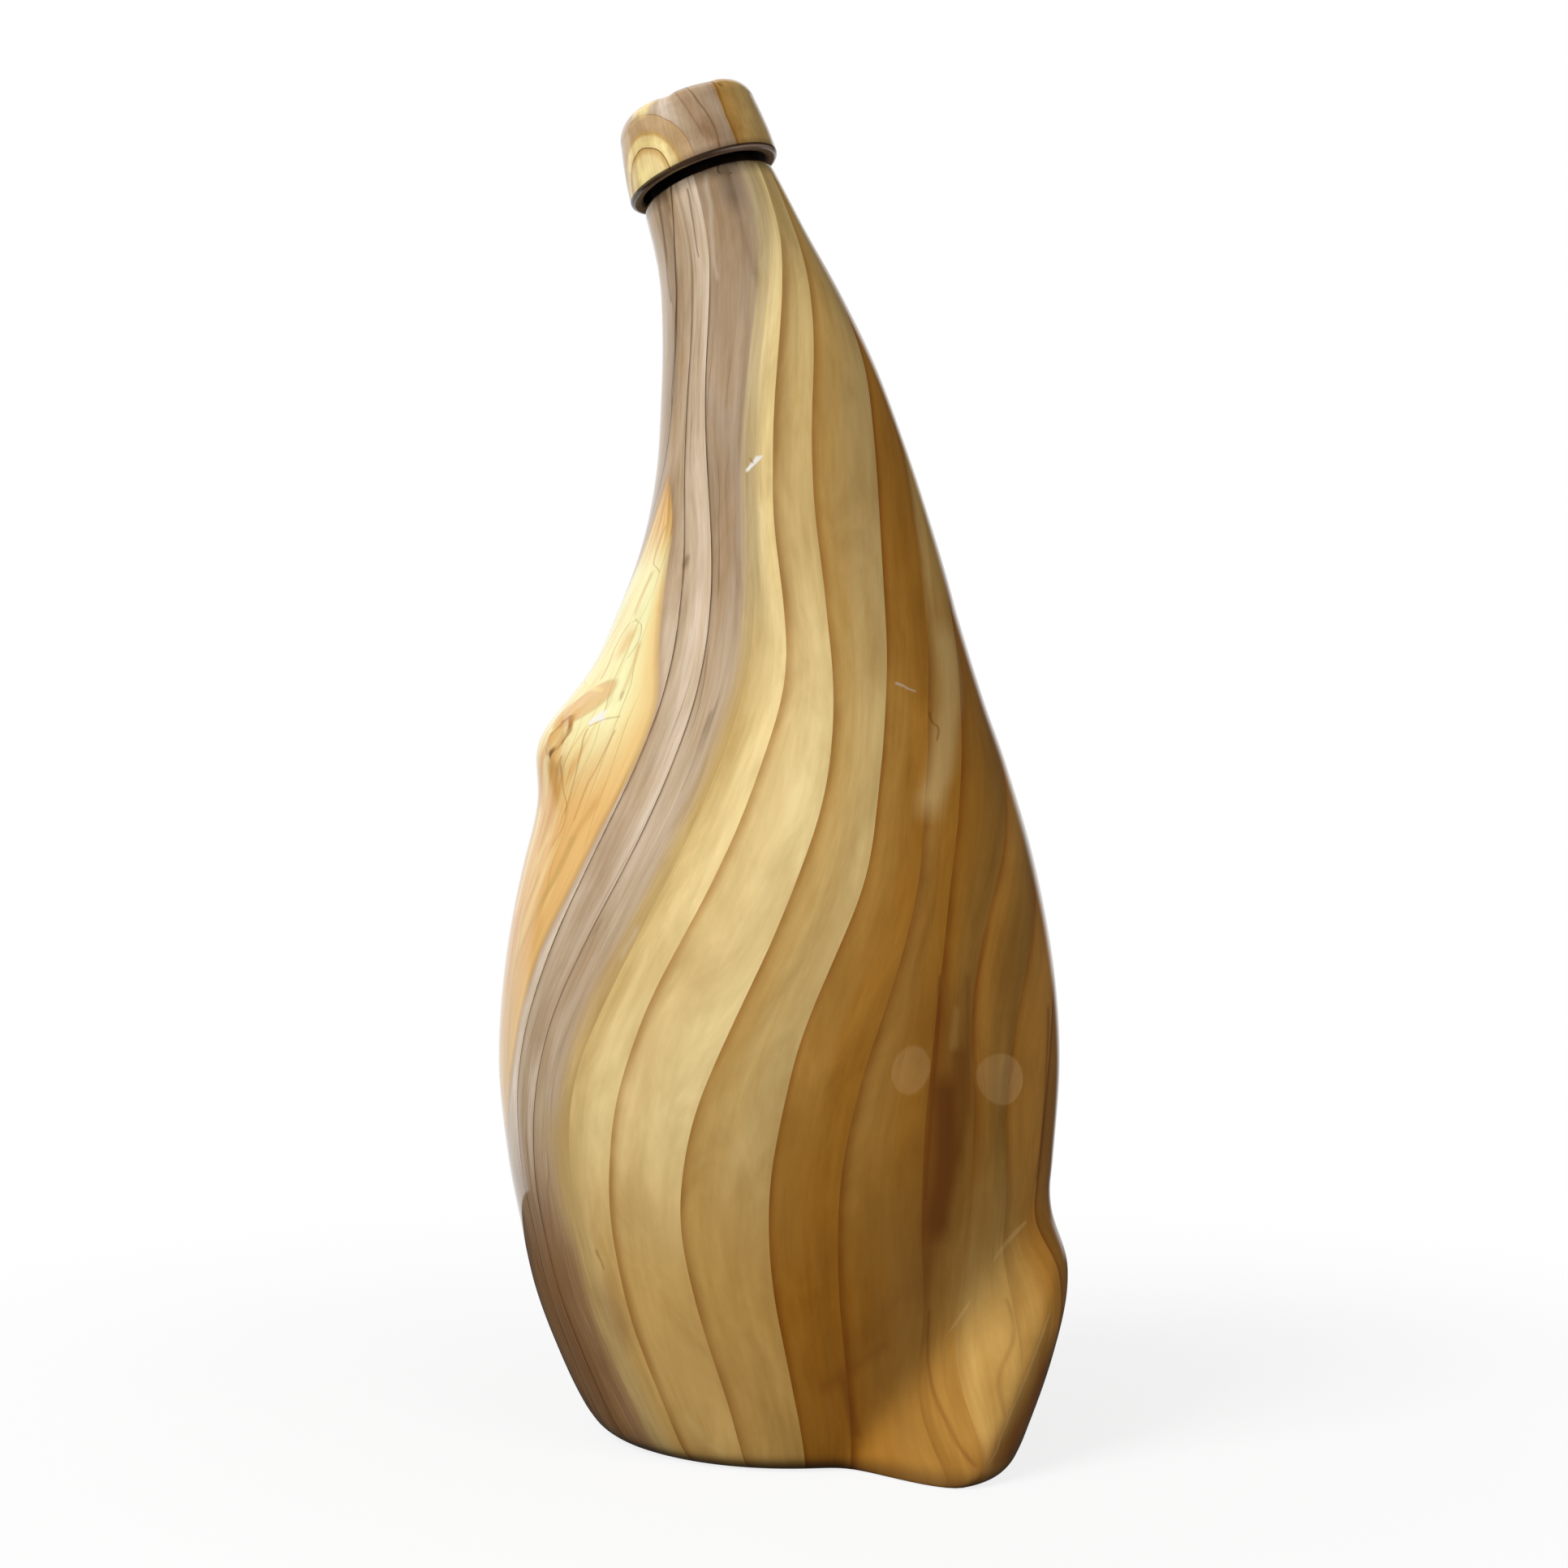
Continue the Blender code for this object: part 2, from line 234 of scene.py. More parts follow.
def knotCarving(across, climb):
    # the oval eye, the collar round it and the crease that runs up to its right
    turn = math.radians(knot["eyeTurn"])
    aside = across - knot["eyePlace"][0]
    above = climb - knot["eyePlace"][1]
    wide = aside * math.cos(turn) - above * math.sin(turn)
    high = aside * math.sin(turn) + above * math.cos(turn)
    ring = np.hypot(wide / knot["eyeSize"][0], high / knot["eyeSize"][1])
    carved = knot["collarHeight"] * bell(ring - 1.5, 0.35) - knot["eyeDepth"] * bell(ring, 0.75)
    start = np.array(knot["creaseFrom"])
    run = np.array(knot["creaseTo"]) - start
    share = ((across - start[0]) * run[0] + (climb - start[1]) * run[1]) / run.dot(run)
    share = np.clip(share, 0, 1)
    distance = np.hypot(across - start[0] - run[0] * share, climb - start[1] - run[1] * share)
    return carved - knot["creaseDepth"] * bell(distance, knot["creaseWidth"]) * (1 - 0.5 * share)


def handUnevenness(along, azimuths):
    # a cast and sponged skin is never quite true: slow dents, always inwards
    turn = np.radians(azimuths)
    height = along / millimetre
    waves = (
        np.sin(3 * turn + 0.041 * height + 0.6)
        + np.sin(5 * turn - 0.067 * height + 2.1)
        + np.sin(8 * turn + 0.113 * height + 4.0)
    )
    return trunk["unevenness"] * (waves / 6 - 0.5)


def skinRing(along, azimuths, inset=0.0, rootShare=1.0, detail=True):
    place, across, deep = spineFrame(along)[:3]
    relief = rootRelief(along, azimuths) * rootShare
    if detail:
        relief = relief + knotRelief(along, azimuths) + handUnevenness(along, azimuths) - trunk["skinInset"]
    turn = np.radians(azimuths)
    wide = (halfWidthAt(along) - inset + relief) * np.cos(turn)
    thick = (halfDepthAt(along) - inset + relief) * np.sin(turn)
    return place + wide[:, None] * across + thick[:, None] * deep


def roundRing(along, radius, azimuths):
    place, across, deep = spineFrame(along)[:3]
    turn = np.radians(azimuths)
    return place + radius * (np.cos(turn)[:, None] * across + np.sin(turn)[:, None] * deep)


def quarterSteps(count):
    return [(math.sin(math.pi / 2 * i / count), math.cos(math.pi / 2 * i / count)) for i in range(count)]


# The painted grain: each line's azimuth at shared heights, from one back-left crack round to the next

grainHeights = (0, 25, 50, 75, 100, 125, 150, 175, 200, 225, 250, 280)
grainLines = {
    "crackLeft": (192, 192, 190, 180, 168, 157, 154, 168, 186, 206, 210, 227),
    "crackMiddle": (208, 206, 203, 204, 212, 223, 233, 236, 229, 220, 226, 241),
    "crackRight": (217, 213, 209, 212, 221, 234, 243, 247, 241, 234, 238, 259),
    "greyEnd": (227, 222, 218, 218, 228, 240, 250, 255, 251, 250, 263, 292),
    "creamStart": (235, 229, 224, 224, 234, 246, 255, 261, 257, 256, 269, 309),
    "firstRing": (241, 236, 233, 236, 244, 256, 265, 272, 265, 267, 282, 321),
    "secondRing": (258, 254, 249, 253, 263, 273, 282, 284, 281, 284, 303, 336),
    "thirdRing": (275, 270, 267, 270, 276, 288, 294, 302, 306, 318, 337, 349),
    "fourthRing": (287, 283, 281, 283, 291, 300, 307, 318, 327, 343, 356, 366),
    "fifthRing": (299, 302, 299, 299, 302, 308, 319, 334, 350, 364, 374, 382),
    "sixthRing": (304, 309, 311, 311, 310, 322, 344, 358, 372, 382, 390, 397),
    "seventhRing": (310, 318, 324, 319, 326, 344, 364, 380, 392, 400, 406, 411),
    "sideRing": (325, 330, 336, 336, 345, 365, 384, 400, 410, 417, 421, 424),
    "backRingOne": (355, 358, 362, 364, 372, 386, 400, 412, 420, 426, 430, 433),
    "backRingTwo": (385, 388, 391, 393, 397, 406, 416, 425, 431, 436, 439, 442),
    "backRingThree": (414, 417, 420, 421, 422, 426, 431, 437, 442, 446, 448, 451),
    "backRingFour": (443, 446, 448, 448, 447, 446, 446, 449, 453, 456, 457, 459),
    "backRingFive": (472, 474, 475, 473, 469, 464, 460, 460, 463, 465, 465, 466),
    "backCreamEnd": (504, 502, 500, 496, 489, 480, 473, 471, 472, 473, 472, 471),
    "backGreyStart": (516, 514, 512, 508, 500, 490, 482, 480, 481, 482, 482, 481),
    "backCrackRight": (534, 532, 530, 526, 518, 505, 498, 502, 512, 520, 522, 516),
    "backCrackMiddle": (544, 542, 540, 533, 523, 511, 506, 515, 531, 545, 547, 552),
}
lineNames = tuple(grainLines)
lineCount = len(lineNames)
grain = {"wander": 0.08, "leastGap": 1.5, "seamAzimuth": 90.0, "easedOver": (-12, -6, 0, 6, 12)}

# The pale lens of sapwood round the branch stub: height, left edge and right edge. The edges have
# passed each other where it has ended
lensEdges = (
    (58, 207, 187), (70, 190, 196), (82, 181, 202), (95, 172, 207), (110, 165, 213), (125, 160, 221),
    (140, 158, 228), (150, 160, 232), (158, 165, 234), (166, 170, 234), (180, 182, 228), (196, 192, 222),
    (208, 199, 219), (218, 208, 212), (230, 224, 204),
)


def lineAzimuths(along):
    height = along / millimetre
    found = []
    for i, name in enumerate(lineNames):
        near = height + np.array(grain["easedOver"])
        azimuth = smoothCurve(tuple(zip(grainHeights, grainLines[name])), near).mean()
        azimuth += grain["wander"] * (
            math.sin(height / 9.3 + 2.4 * i) + 0.6 * math.sin(height / 4.1 + 1.7 * i * i)
        )
        found.append(azimuth)
    for i in range(1, lineCount):
        found[i] = max(found[i], found[i - 1] + grain["leastGap"])
    return np.array(found)


def flowAt(along, azimuths):
    # the grain's own coordinate, a whole number on each line, smooth and rising between them
    lines = lineAzimuths(along)
    places = np.concatenate([lines + 360 * turn for turn in (-2, -1, 0, 1)])
    gaps = np.diff(places)
    slopes = 2 / (gaps[1:] + gaps[:-1])
    low = np.clip(np.searchsorted(places, azimuths) - 1, 1, len(places) - 3)
    t = (azimuths - places[low]) / gaps[low]
    start = slopes[low - 1] * gaps[low]
    end = slopes[low] * gaps[low]
    bent = t * t * (3 - 2 * t) + start * t * (1 - t) ** 2 + end * t * t * (t - 1)
    return low - 2 * lineCount + bent


def lensPlace(along, azimuths):
    # millimetres from the lens's middle line, and half the lens's width at that height
    height = along / millimetre
    left = smoothCurve([(place, start) for place, start, end in lensEdges], height)
    far = smoothCurve([(place, end) for place, start, end in lensEdges], height)
    scale = math.radians(1) * halfWidthAt(along) / millimetre
    return (azimuths - (left + far) / 2) * scale, (far - left) / 2 * scale + 0 * azimuths


def frontPlace(along, azimuths):
    # millimetres round the trunk from its front's middle line, and up it, where stains and painted shade go
    across = np.radians(azimuths - 270) * halfWidthAt(along) / millimetre
    return across, along / millimetre + 0 * across


def spread(points, values):
    # how many millimetres of the surface one unit of a value takes
    across = np.linalg.norm(np.roll(points, -1, 1) - np.roll(points, 1, 1), axis=2)
    across = np.concatenate((across, across[:, :1]), 1) / millimetre
    ends = values[:, -1:] - values[:, :1]
    padded = np.concatenate((values[:, -2:-1] - ends, values, values[:, 1:2] + ends), 1)
    sideways = (padded[:, 2:] - padded[:, :-2]) / across
    closed = np.concatenate((points, points[:, :1]), 1)
    climb = np.linalg.norm(np.gradient(closed, axis=0), axis=2) / millimetre
    upwards = np.gradient(values, axis=0) / np.maximum(climb, 0.01)
    return 1 / np.maximum(np.hypot(sideways, upwards), 0.002)


# Meshes from rings of points

def ringMesh(name, rings, firstPole, lastPole, maps, finishes):
    # a closed skin through the rings; maps hold a pair of paint coordinates for each ring point
    rings = np.array(rings)
    levels, around = rings.shape[:2]
    points = np.concatenate((rings.reshape(-1, 3), [firstPole], [lastPole]))
    low, column = np.meshgrid(np.arange(levels - 1), np.arange(around), indexing="ij")
    after = (column + 1) % around
    quads = np.stack((low, low, low + 1, low + 1), 2) * around
    quads += np.stack((column, after, after, column), 2)
    turn = np.arange(around)
    beyond = (turn + 1) % around
    top = (levels - 1) * around
    firstFan = np.stack((beyond, turn, 0 * turn + levels * around), 1)
    lastFan = np.stack((top + turn, top + beyond, 0 * turn + levels * around + 1), 1)
    faces = quads.reshape(-1, 4).tolist() + firstFan.tolist() + lastFan.tolist()
    mesh = bpy.data.meshes.new(name)
    mesh.from_pydata(points.tolist(), [], faces)
    for mapName, pairs in maps.items():
        layer = mesh.uv_layers.new(name=mapName)
        corners = np.stack((
            pairs[low, column], pairs[low, column + 1],
            pairs[low + 1, column + 1], pairs[low + 1, column],
        ), 2).reshape(-1, 2)
        firstCorners = np.stack((pairs[0, turn + 1], pairs[0, turn], pairs[0, turn]), 1)
        lastCorners = np.stack((pairs[-1, turn], pairs[-1, turn + 1], pairs[-1, turn]), 1)
        every = np.concatenate((corners, firstCorners.reshape(-1, 2), lastCorners.reshape(-1, 2)))
        layer.uv.foreach_set("vector", every.astype(np.float32).ravel())
    bands = np.repeat(np.array(finishes[1:-1]), around).tolist()
    bands += [finishes[0]] * around + [finishes[-1]] * around
    mesh.polygons.foreach_set("material_index", bands)
    mesh.shade_smooth()
    mesh.update()
    return mesh


def addPiece(name, mesh, materials, body, replaced):
    for material in materials:
        mesh.materials.append(material)
    piece = bpy.data.objects.new(name, mesh)
    bpy.context.scene.collection.objects.link(piece)
    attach(piece, body)
    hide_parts(replaced)


# Paints, as they look in even light

def paint(red, green, blue):
    def linear(value):
        value /= 255
        return value / 12.92 if value <= 0.04045 else ((value + 0.055) / 1.055) ** 2.4
    return tuple(linear(value) for value in (red, green, blue))


paints = {
    "lemon": paint(255, 250, 192),
    "butter": paint(255, 232, 160),
    "cream": paint(250, 222, 156),
    "straw": paint(226, 194, 128),
    "sand": paint(206, 173, 112),
    "tan": paint(214, 172, 100),
    "wheat": paint(239, 206, 140),
    "ochre": paint(200, 156, 84),
    "honey": paint(189, 139, 65),
    "umber": paint(180, 122, 42),
    "bark": paint(163, 106, 30),
    "fawn": paint(168, 120, 52),
    "caramel": paint(203, 141, 58),
    "rust": paint(161, 98, 42),
    "shade": paint(128, 72, 26),
    "ink": paint(74, 48, 28),
    "taupePale": paint(222, 200, 173),
    "taupe": paint(201, 176, 146),
    "taupeDeep": paint(178, 153, 126),
    "taupeBrown": paint(160, 122, 84),
    "walnut": paint(146, 104, 64),
    "walnutDeep": paint(112, 80, 46),
    "olive": paint(205, 181, 134),
    "peach": paint(246, 200, 128),
    "apricot": paint(236, 180, 106),
    "salmon": paint(228, 170, 112),
    "amber": paint(214, 158, 84),
    "stone": paint(184, 156, 124),
    "stoneWarm": paint(200, 166, 122),
    "rimBrown": paint(92, 60, 38),
    "rimPale": paint(196, 168, 152),
    "gapDark": paint(30, 20, 14),
    "gapBrown": paint(46, 32, 22),
    "clay": paint(206, 176, 152),
    "clayPale": paint(226, 210, 188),
    "white": paint(250, 246, 236),
}


# Shader nodes

def feed(tree, socket, value):
    # a socket takes another node's output, or a plain number, vector or colour
    if isinstance(value, bpy.types.NodeSocket):
        tree.links.new(value, socket)
    elif socket.type == "RGBA":
        socket.default_value = (*value[:3], 1)
    else:
        socket.default_value = value


def feedInOrder(tree, node, values):
    for socket, value in zip(node.inputs, values):
        feed(tree, socket, value)


def feedByName(tree, node, values):
    for name, value in values.items():
        feed(tree, node.inputs[name], value)


def calc(tree, operation, *values):
    node = tree.nodes.new("ShaderNodeMath")
    node.operation = operation
    feedInOrder(tree, node, values)
    return node.outputs[0]


def product(tree, *values):
    found = values[0]
    for value in values[1:]:
        found = calc(tree, "MULTIPLY", found, value)
    return found


def centred(tree, value):
    # a noise value, which swings round 0.5, made to swing round 0
    return calc(tree, "SUBTRACT", value, 0.5)


def limited(tree, value):
    # between 0 and 1; two plain nodes let a shader hold far more strokes than a clamped one
    return calc(tree, "MAXIMUM", calc(tree, "MINIMUM", value, 1.0), 0.0)


def calcVector(tree, operation, *values):
    node = tree.nodes.new("ShaderNodeVectorMath")
    node.operation = operation
    feedInOrder(tree, node, values)
    return node.outputs["Value" if operation in ("DOT_PRODUCT", "LENGTH") else "Vector"]


def blend(tree, share, first, second, way="MIX"):
    node = tree.nodes.new("ShaderNodeMix")
    node.data_type = "RGBA"
    node.blend_type = way
    feed(tree, node.inputs[0], share)
    feed(tree, node.inputs[6], first)
    feed(tree, node.inputs[7], second)
    return node.outputs[2]


def ease(tree, value, start, end, low=0.0, high=1.0):
    node = tree.nodes.new("ShaderNodeMapRange")
    node.interpolation_type = "SMOOTHSTEP"
    feedByName(tree, node, {
        "Value": value, "From Min": start, "From Max": end, "To Min": low, "To Max": high,
    })
    return node.outputs["Result"]


def joinVector(tree, x, y, z=0.0):
    node = tree.nodes.new("ShaderNodeCombineXYZ")
    feedInOrder(tree, node, (x, y, z))
    return node.outputs[0]


def mottle(tree, vector, scale, detail=3.0, roughness=0.5, distortion=0.0):
    node = tree.nodes.new("ShaderNodeTexNoise")
    feedByName(tree, node, {
        "Vector": vector, "Scale": scale, "Detail": detail, "Roughness": roughness, "Distortion": distortion,
    })
    return node.outputs[0]


def colourMap(tree, mapName):
    node = tree.nodes.new("ShaderNodeUVMap")
    node.uv_map = mapName
    parts = tree.nodes.new("ShaderNodeSeparateXYZ")
    tree.links.new(node.outputs["UV"], parts.inputs[0])
    return parts.outputs[0], parts.outputs[1]


def surfacePlace(tree):
    return tree.nodes.new("ShaderNodeTexCoord").outputs["Object"]


def perBand(tree, band, colours):
    # one colour for each whole band number, from 0 up
    ramp = tree.nodes.new("ShaderNodeValToRGB")
    ramp.color_ramp.interpolation = "CONSTANT"
    stops = ramp.color_ramp.elements
    while len(stops) < len(colours):
        stops.new(len(stops) / 32)
    for i, colour in enumerate(colours):
        stops[i].position = i / len(colours)
        stops[i].color = (*colour, 1)
    middle = calc(tree, "ADD", band, 0.5)
    tree.links.new(calc(tree, "DIVIDE", middle, float(len(colours))), ramp.inputs[0])
    return ramp.outputs[0]


def rampOf(tree, value, stopsWanted):
    # a colour ramp through (position, paint name) pairs
    ramp = tree.nodes.new("ShaderNodeValToRGB")
    stops = ramp.color_ramp.elements
    while len(stops) < len(stopsWanted):
        stops.new(1.0)
    for stop, (position, paintName) in zip(stops, stopsWanted):
        stop.position = position
        stop.color = (*paints[paintName], 1)
    tree.links.new(value, ramp.inputs[0])
    return ramp.outputs[0]


def newGroup(name, inputs, outputs):
    group = bpy.data.node_groups.new(name, "ShaderNodeTree")
    for label, kind, value in inputs:
        socket = group.interface.new_socket(label, in_out="INPUT", socket_type="NodeSocket" + kind)
        if kind == "Color":
            socket.default_value = (*value, 1)
        else:
            socket.default_value = value
    for label, kind in outputs:
        group.interface.new_socket(label, in_out="OUTPUT", socket_type="NodeSocket" + kind)
    inside = group.nodes.new("NodeGroupInput")
    outside = group.nodes.new("NodeGroupOutput")
    return group, inside.outputs, outside.inputs


def useGroup(tree, group, **values):
    node = tree.nodes.new("ShaderNodeGroup")
    node.node_tree = group
    feedByName(tree, node, values)
    return node.outputs


def newMaterial(name):
    material = bpy.data.materials.new(name)
    material.use_nodes = True
    return material, material.node_tree, material.node_tree.nodes["Principled BSDF"]


def addBump(tree, shader, height, depth, strength=1.0):
    bump = tree.nodes.new("ShaderNodeBump")
    feedByName(tree, bump, {"Distance": depth, "Strength": strength, "Height": height})
    tree.links.new(bump.outputs[0], shader.inputs["Normal"])


def cloudyPaint(tree, scale, strength, first, second):
    # one paint with soft clouds of another
    cloud = mottle(tree, surfacePlace(tree), scale, 4.0, 0.6)
    return blend(tree, ease(tree, cloud, 0.35, 0.7, 0.0, strength), paints[first], paints[second])


glazeCoat = {"baseRoughness": 0.42, "coatRoughness": 0.035, "ior": 1.5, "grainDepth": 0.00006}


def coverWithGlaze(tree, shader, colour, height, strength=1.0):
    # painted clay with a slight relief under a thick clear coat, which alone mirrors
    addBump(tree, shader, height, glazeCoat["grainDepth"], strength)
    feedByName(tree, shader, {
        "Base Color": colour, "Roughness": glazeCoat["baseRoughness"], "Specular IOR Level": 0.0,
        "Coat Weight": 1.0, "Coat Roughness": glazeCoat["coatRoughness"], "Coat IOR": glazeCoat["ior"],
    })


# A brush stroke: a straight mark in millimetres that may thin out towards its end

def buildStroke():
    tree, given, result = newGroup(
        "brushStroke",
        (
            ("Place", "Vector", (0, 0, 0)), ("From", "Vector", (0, 0, 0)), ("To", "Vector", (1, 0, 0)),
            ("Width", "Float", 1.0), ("Thinned", "Float", 0.0), ("Softness", "Float", 0.2),
        ),
        (("Mask", "Float"),),
    )
    run = calcVector(tree, "SUBTRACT", given["To"], given["From"])
    gone = calcVector(tree, "SUBTRACT", given["Place"], given["From"])
    share = limited(tree, calc(
        tree, "DIVIDE", calcVector(tree, "DOT_PRODUCT", gone, run), calcVector(tree, "DOT_PRODUCT", run, run)
    ))
    nearest = calcVector(tree, "MULTIPLY", run, joinVector(tree, share, share, share))
    distance = calcVector(tree, "LENGTH", calcVector(tree, "SUBTRACT", gone, nearest))
    kept = calc(tree, "MULTIPLY_ADD", product(tree, share, given["Thinned"]), -0.5, 0.5)
    half = product(tree, given["Width"], kept)
    inner = calc(tree, "SUBTRACT", half, given["Softness"])
    outer = calc(tree, "ADD", half, given["Softness"])
    feed(tree, result["Mask"], ease(tree, distance, inner, outer, 1.0, 0.0))
    return tree


# An oval: its inside and its outline, in millimetres

def buildOval():
    tree, given, result = newGroup(
        "paintedOval",
        (
            ("Place", "Vector", (0, 0, 0)), ("Middle", "Vector", (0, 0, 0)), ("Radii", "Vector", (1, 1, 1)),
            ("Turn", "Float", 0.0), ("Line", "Float", 0.3), ("Softness", "Float", 0.2),
        ),
        (("Inside", "Float"), ("Outline", "Float")),
    )
    spin = tree.nodes.new("ShaderNodeVectorRotate")
    spin.rotation_type = "Z_AXIS"
    tree.links.new(calcVector(tree, "SUBTRACT", given["Place"], given["Middle"]), spin.inputs["Vector"])
    tree.links.new(given["Turn"], spin.inputs["Angle"])
    size = calcVector(tree, "LENGTH", calcVector(tree, "DIVIDE", spin.outputs[0], given["Radii"]))
    least = tree.nodes.new("ShaderNodeSeparateXYZ")
    tree.links.new(given["Radii"], least.inputs[0])
    smallest = calc(tree, "MINIMUM", least.outputs[0], least.outputs[1])
    distance = product(tree, calc(tree, "SUBTRACT", size, 1.0), smallest)
    below = product(tree, given["Softness"], -1.0)
    feed(tree, result["Inside"], ease(tree, distance, below, given["Softness"], 1.0, 0.0))
    thin = calc(tree, "SUBTRACT", given["Line"], given["Softness"])
    thick = calc(tree, "ADD", given["Line"], given["Softness"])
    feed(tree, result["Outline"], ease(tree, calc(tree, "ABSOLUTE", distance), thin, thick, 1.0, 0.0))
    return tree


def mottleRound(tree, turn, along, cells, rise, shift=0.0, detail=3.0, roughness=0.5, distortion=0.0):
    # noise that goes round a tube without a seam: its cells round the tube, and its rise per millimetre
    angle = product(tree, turn, 2 * math.pi)
    radius = cells / (2 * math.pi)
    place = joinVector(
        tree, product(tree, calc(tree, "COSINE", angle), radius),
        product(tree, calc(tree, "SINE", angle), radius),
        calc(tree, "MULTIPLY_ADD", along, rise, shift),
    )
    return mottle(tree, place, 1.0, detail, roughness, distortion)


# Brushed paint: fine streaks along the grain and watery patches. Turn is a share of one turn round

def buildBrushwork():
    tree, given, result = newGroup(
        "brushedPaint",
        (
            ("Colour", "Color", (0.5, 0.5, 0.5)), ("Turn", "Float", 0.0), ("Along", "Float", 0.0),
            ("Streaks", "Float", 0.2), ("Wash", "Float", 0.2), ("Darker", "Color", (0.3, 0.2, 0.1)),
            ("Patch", "Vector", (0, 0, 0)), ("Patches", "Float", 0.5),
        ),
        (("Colour", "Color"), ("Streak", "Float")),
    )
    turn, along = given["Turn"], given["Along"]
    fine = mottleRound(tree, turn, along, 230.0, 0.05, 0.0, 4.0, 0.6)
    broad = mottleRound(tree, turn, along, 60.0, 0.02, 7.0, 3.0, 0.55, 0.4)
    wash = mottleRound(tree, turn, along, 26.0, 0.03, 21.0, 3.0, 0.5, 0.8)
    streak = calc(tree, "ADD", product(tree, centred(tree, fine), 1.3),
                  product(tree, centred(tree, broad), 1.2))
    patch = centred(tree, mottle(tree, given["Patch"], 1.0, 4.0, 0.6, 0.5))
    lift = calc(tree, "MULTIPLY_ADD", streak, given["Streaks"], 1.0)
    lift = calc(tree, "MULTIPLY_ADD", patch, given["Patches"], lift)
    warm = joinVector(tree, lift, calc(tree, "POWER", lift, 1.2), calc(tree, "POWER", lift, 1.6))
    streaked = blend(tree, 1.0, given["Colour"], warm, "MULTIPLY")
    watery = product(tree, ease(tree, wash, 0.46, 0.68), given["Wash"])
    feed(tree, result["Colour"], blend(tree, watery, streaked, given["Darker"]))
    feed(tree, result["Streak"], streak)
    return tree


# Hairline cracks that follow the grain and come and go along it

def buildHairs():
    tree, given, result = newGroup(
        "hairCracks",
        (
            ("Turn", "Float", 0.0), ("Along", "Float", 0.0), ("Gauge", "Float", 10.0),
            ("Cells", "Float", 66.0), ("Width", "Float", 0.15), ("Wander", "Float", 1.0),
            ("Fill", "Float", 0.5),
        ),
        (("Mask", "Float"),),
    )
    drift = mottleRound(tree, given["Turn"], given["Along"], 40.0, 0.018, 3.0, 2.0, 0.4)
    cells = calc(tree, "MULTIPLY_ADD", centred(tree, drift), given["Wander"],
                 product(tree, given["Turn"], given["Cells"]))
    off = calc(tree, "ABSOLUTE", centred(tree, calc(tree, "FRACT", cells)))
    off = calc(tree, "DIVIDE", product(tree, off, given["Gauge"]), given["Cells"])
    number = product(tree, calc(tree, "FLOOR", cells), 7.31)
    shown = joinVector(tree, number, product(tree, given["Along"], 0.022), 31.0)
    shown = mottle(tree, shown, 1.0, 2.0, 0.5)
    least = calc(tree, "SUBTRACT", 1.0, given["Fill"])
    mask = ease(tree, off, product(tree, given["Width"], 0.4), given["Width"], 1.0, 0.0)
    shown = ease(tree, shown, calc(tree, "SUBTRACT", least, 0.06), calc(tree, "ADD", least, 0.06))
    feed(tree, result["Mask"], product(tree, mask, shown))
    return tree


strokeGroup = buildStroke()
ovalGroup = buildOval()
brushGroup = buildBrushwork()
hairGroup = buildHairs()
print("node groups built")


def curvedStroke(tree, across, climb, points, width, thinned, softness):
    # a stroke that climbs along a smooth curve: one curve node holds its place, its width and its ends
    ordered = sorted(points, key=lambda point: point[1])
    widths = [1 - thinned * i / (len(points) - 1) for i in range(len(points))]
    if ordered[0] != points[0]:
        widths.reverse()
    widest = max(widths)
    low, high = ordered[0][1] - softness, ordered[-1][1] + softness
    left = min(point[0] for point in points) - 1
    reach = max(point[0] for point in points) + 1 - left
    steps = [(point[1] - low) / (high - low) for point in ordered]
    faded = 2 * steps[0]
    # the place and the width stay level beyond both ends
    steps = [0, *steps, 1]
    ordered = [ordered[0], *ordered, ordered[-1]]
    widths = [widths[0], *widths, widths[-1]]
    node = tree.nodes.new("ShaderNodeRGBCurve")
    channels = (
        [(step, (point[0] - left) / reach) for step, point in zip(steps, ordered)],
        [(step, share / widest) for step, share in zip(steps, widths)],
        [(0, 0), (faded, 1), (1 - faded, 1), (1, 0)],
    )
    for curve, stops in zip(node.mapping.curves, channels):
        while len(curve.points) < len(stops):
            curve.points.new(1, 1)
        for point, stop in zip(curve.points, stops):
            point.location = stop
            if curve != node.mapping.curves[0]:
                point.handle_type = "VECTOR"
    node.mapping.update()
    risen = calc(tree, "MULTIPLY_ADD", climb, 1 / (high - low), -low / (high - low))
    grey = tree.nodes.new("ShaderNodeCombineColor")
    for socket in grey.inputs:
        tree.links.new(risen, socket)
    tree.links.new(grey.outputs[0], node.inputs["Color"])
    parts = tree.nodes.new("ShaderNodeSeparateColor")
    tree.links.new(node.outputs[0], parts.inputs[0])
    path = calc(tree, "MULTIPLY_ADD", parts.outputs[0], reach, left)
    distance = calc(tree, "ABSOLUTE", calc(tree, "SUBTRACT", across, path))
    distance = calc(tree, "MULTIPLY_ADD", parts.outputs[1], -width * widest / 2, distance)
    return product(tree, ease(tree, distance, softness, -softness), parts.outputs[2])


def straightStrokes(tree, place, points, width, thinned, softness):
    mask = None
    for start, end in zip(points, points[1:]):
        run = useGroup(tree, strokeGroup, Place=place, From=(*start, 0), To=(*end, 0),
                       Width=width, Thinned=thinned, Softness=softness)["Mask"]
        mask = run if mask is None else calc(tree, "MAXIMUM", mask, run)
    return mask


leastClimb = 0.8


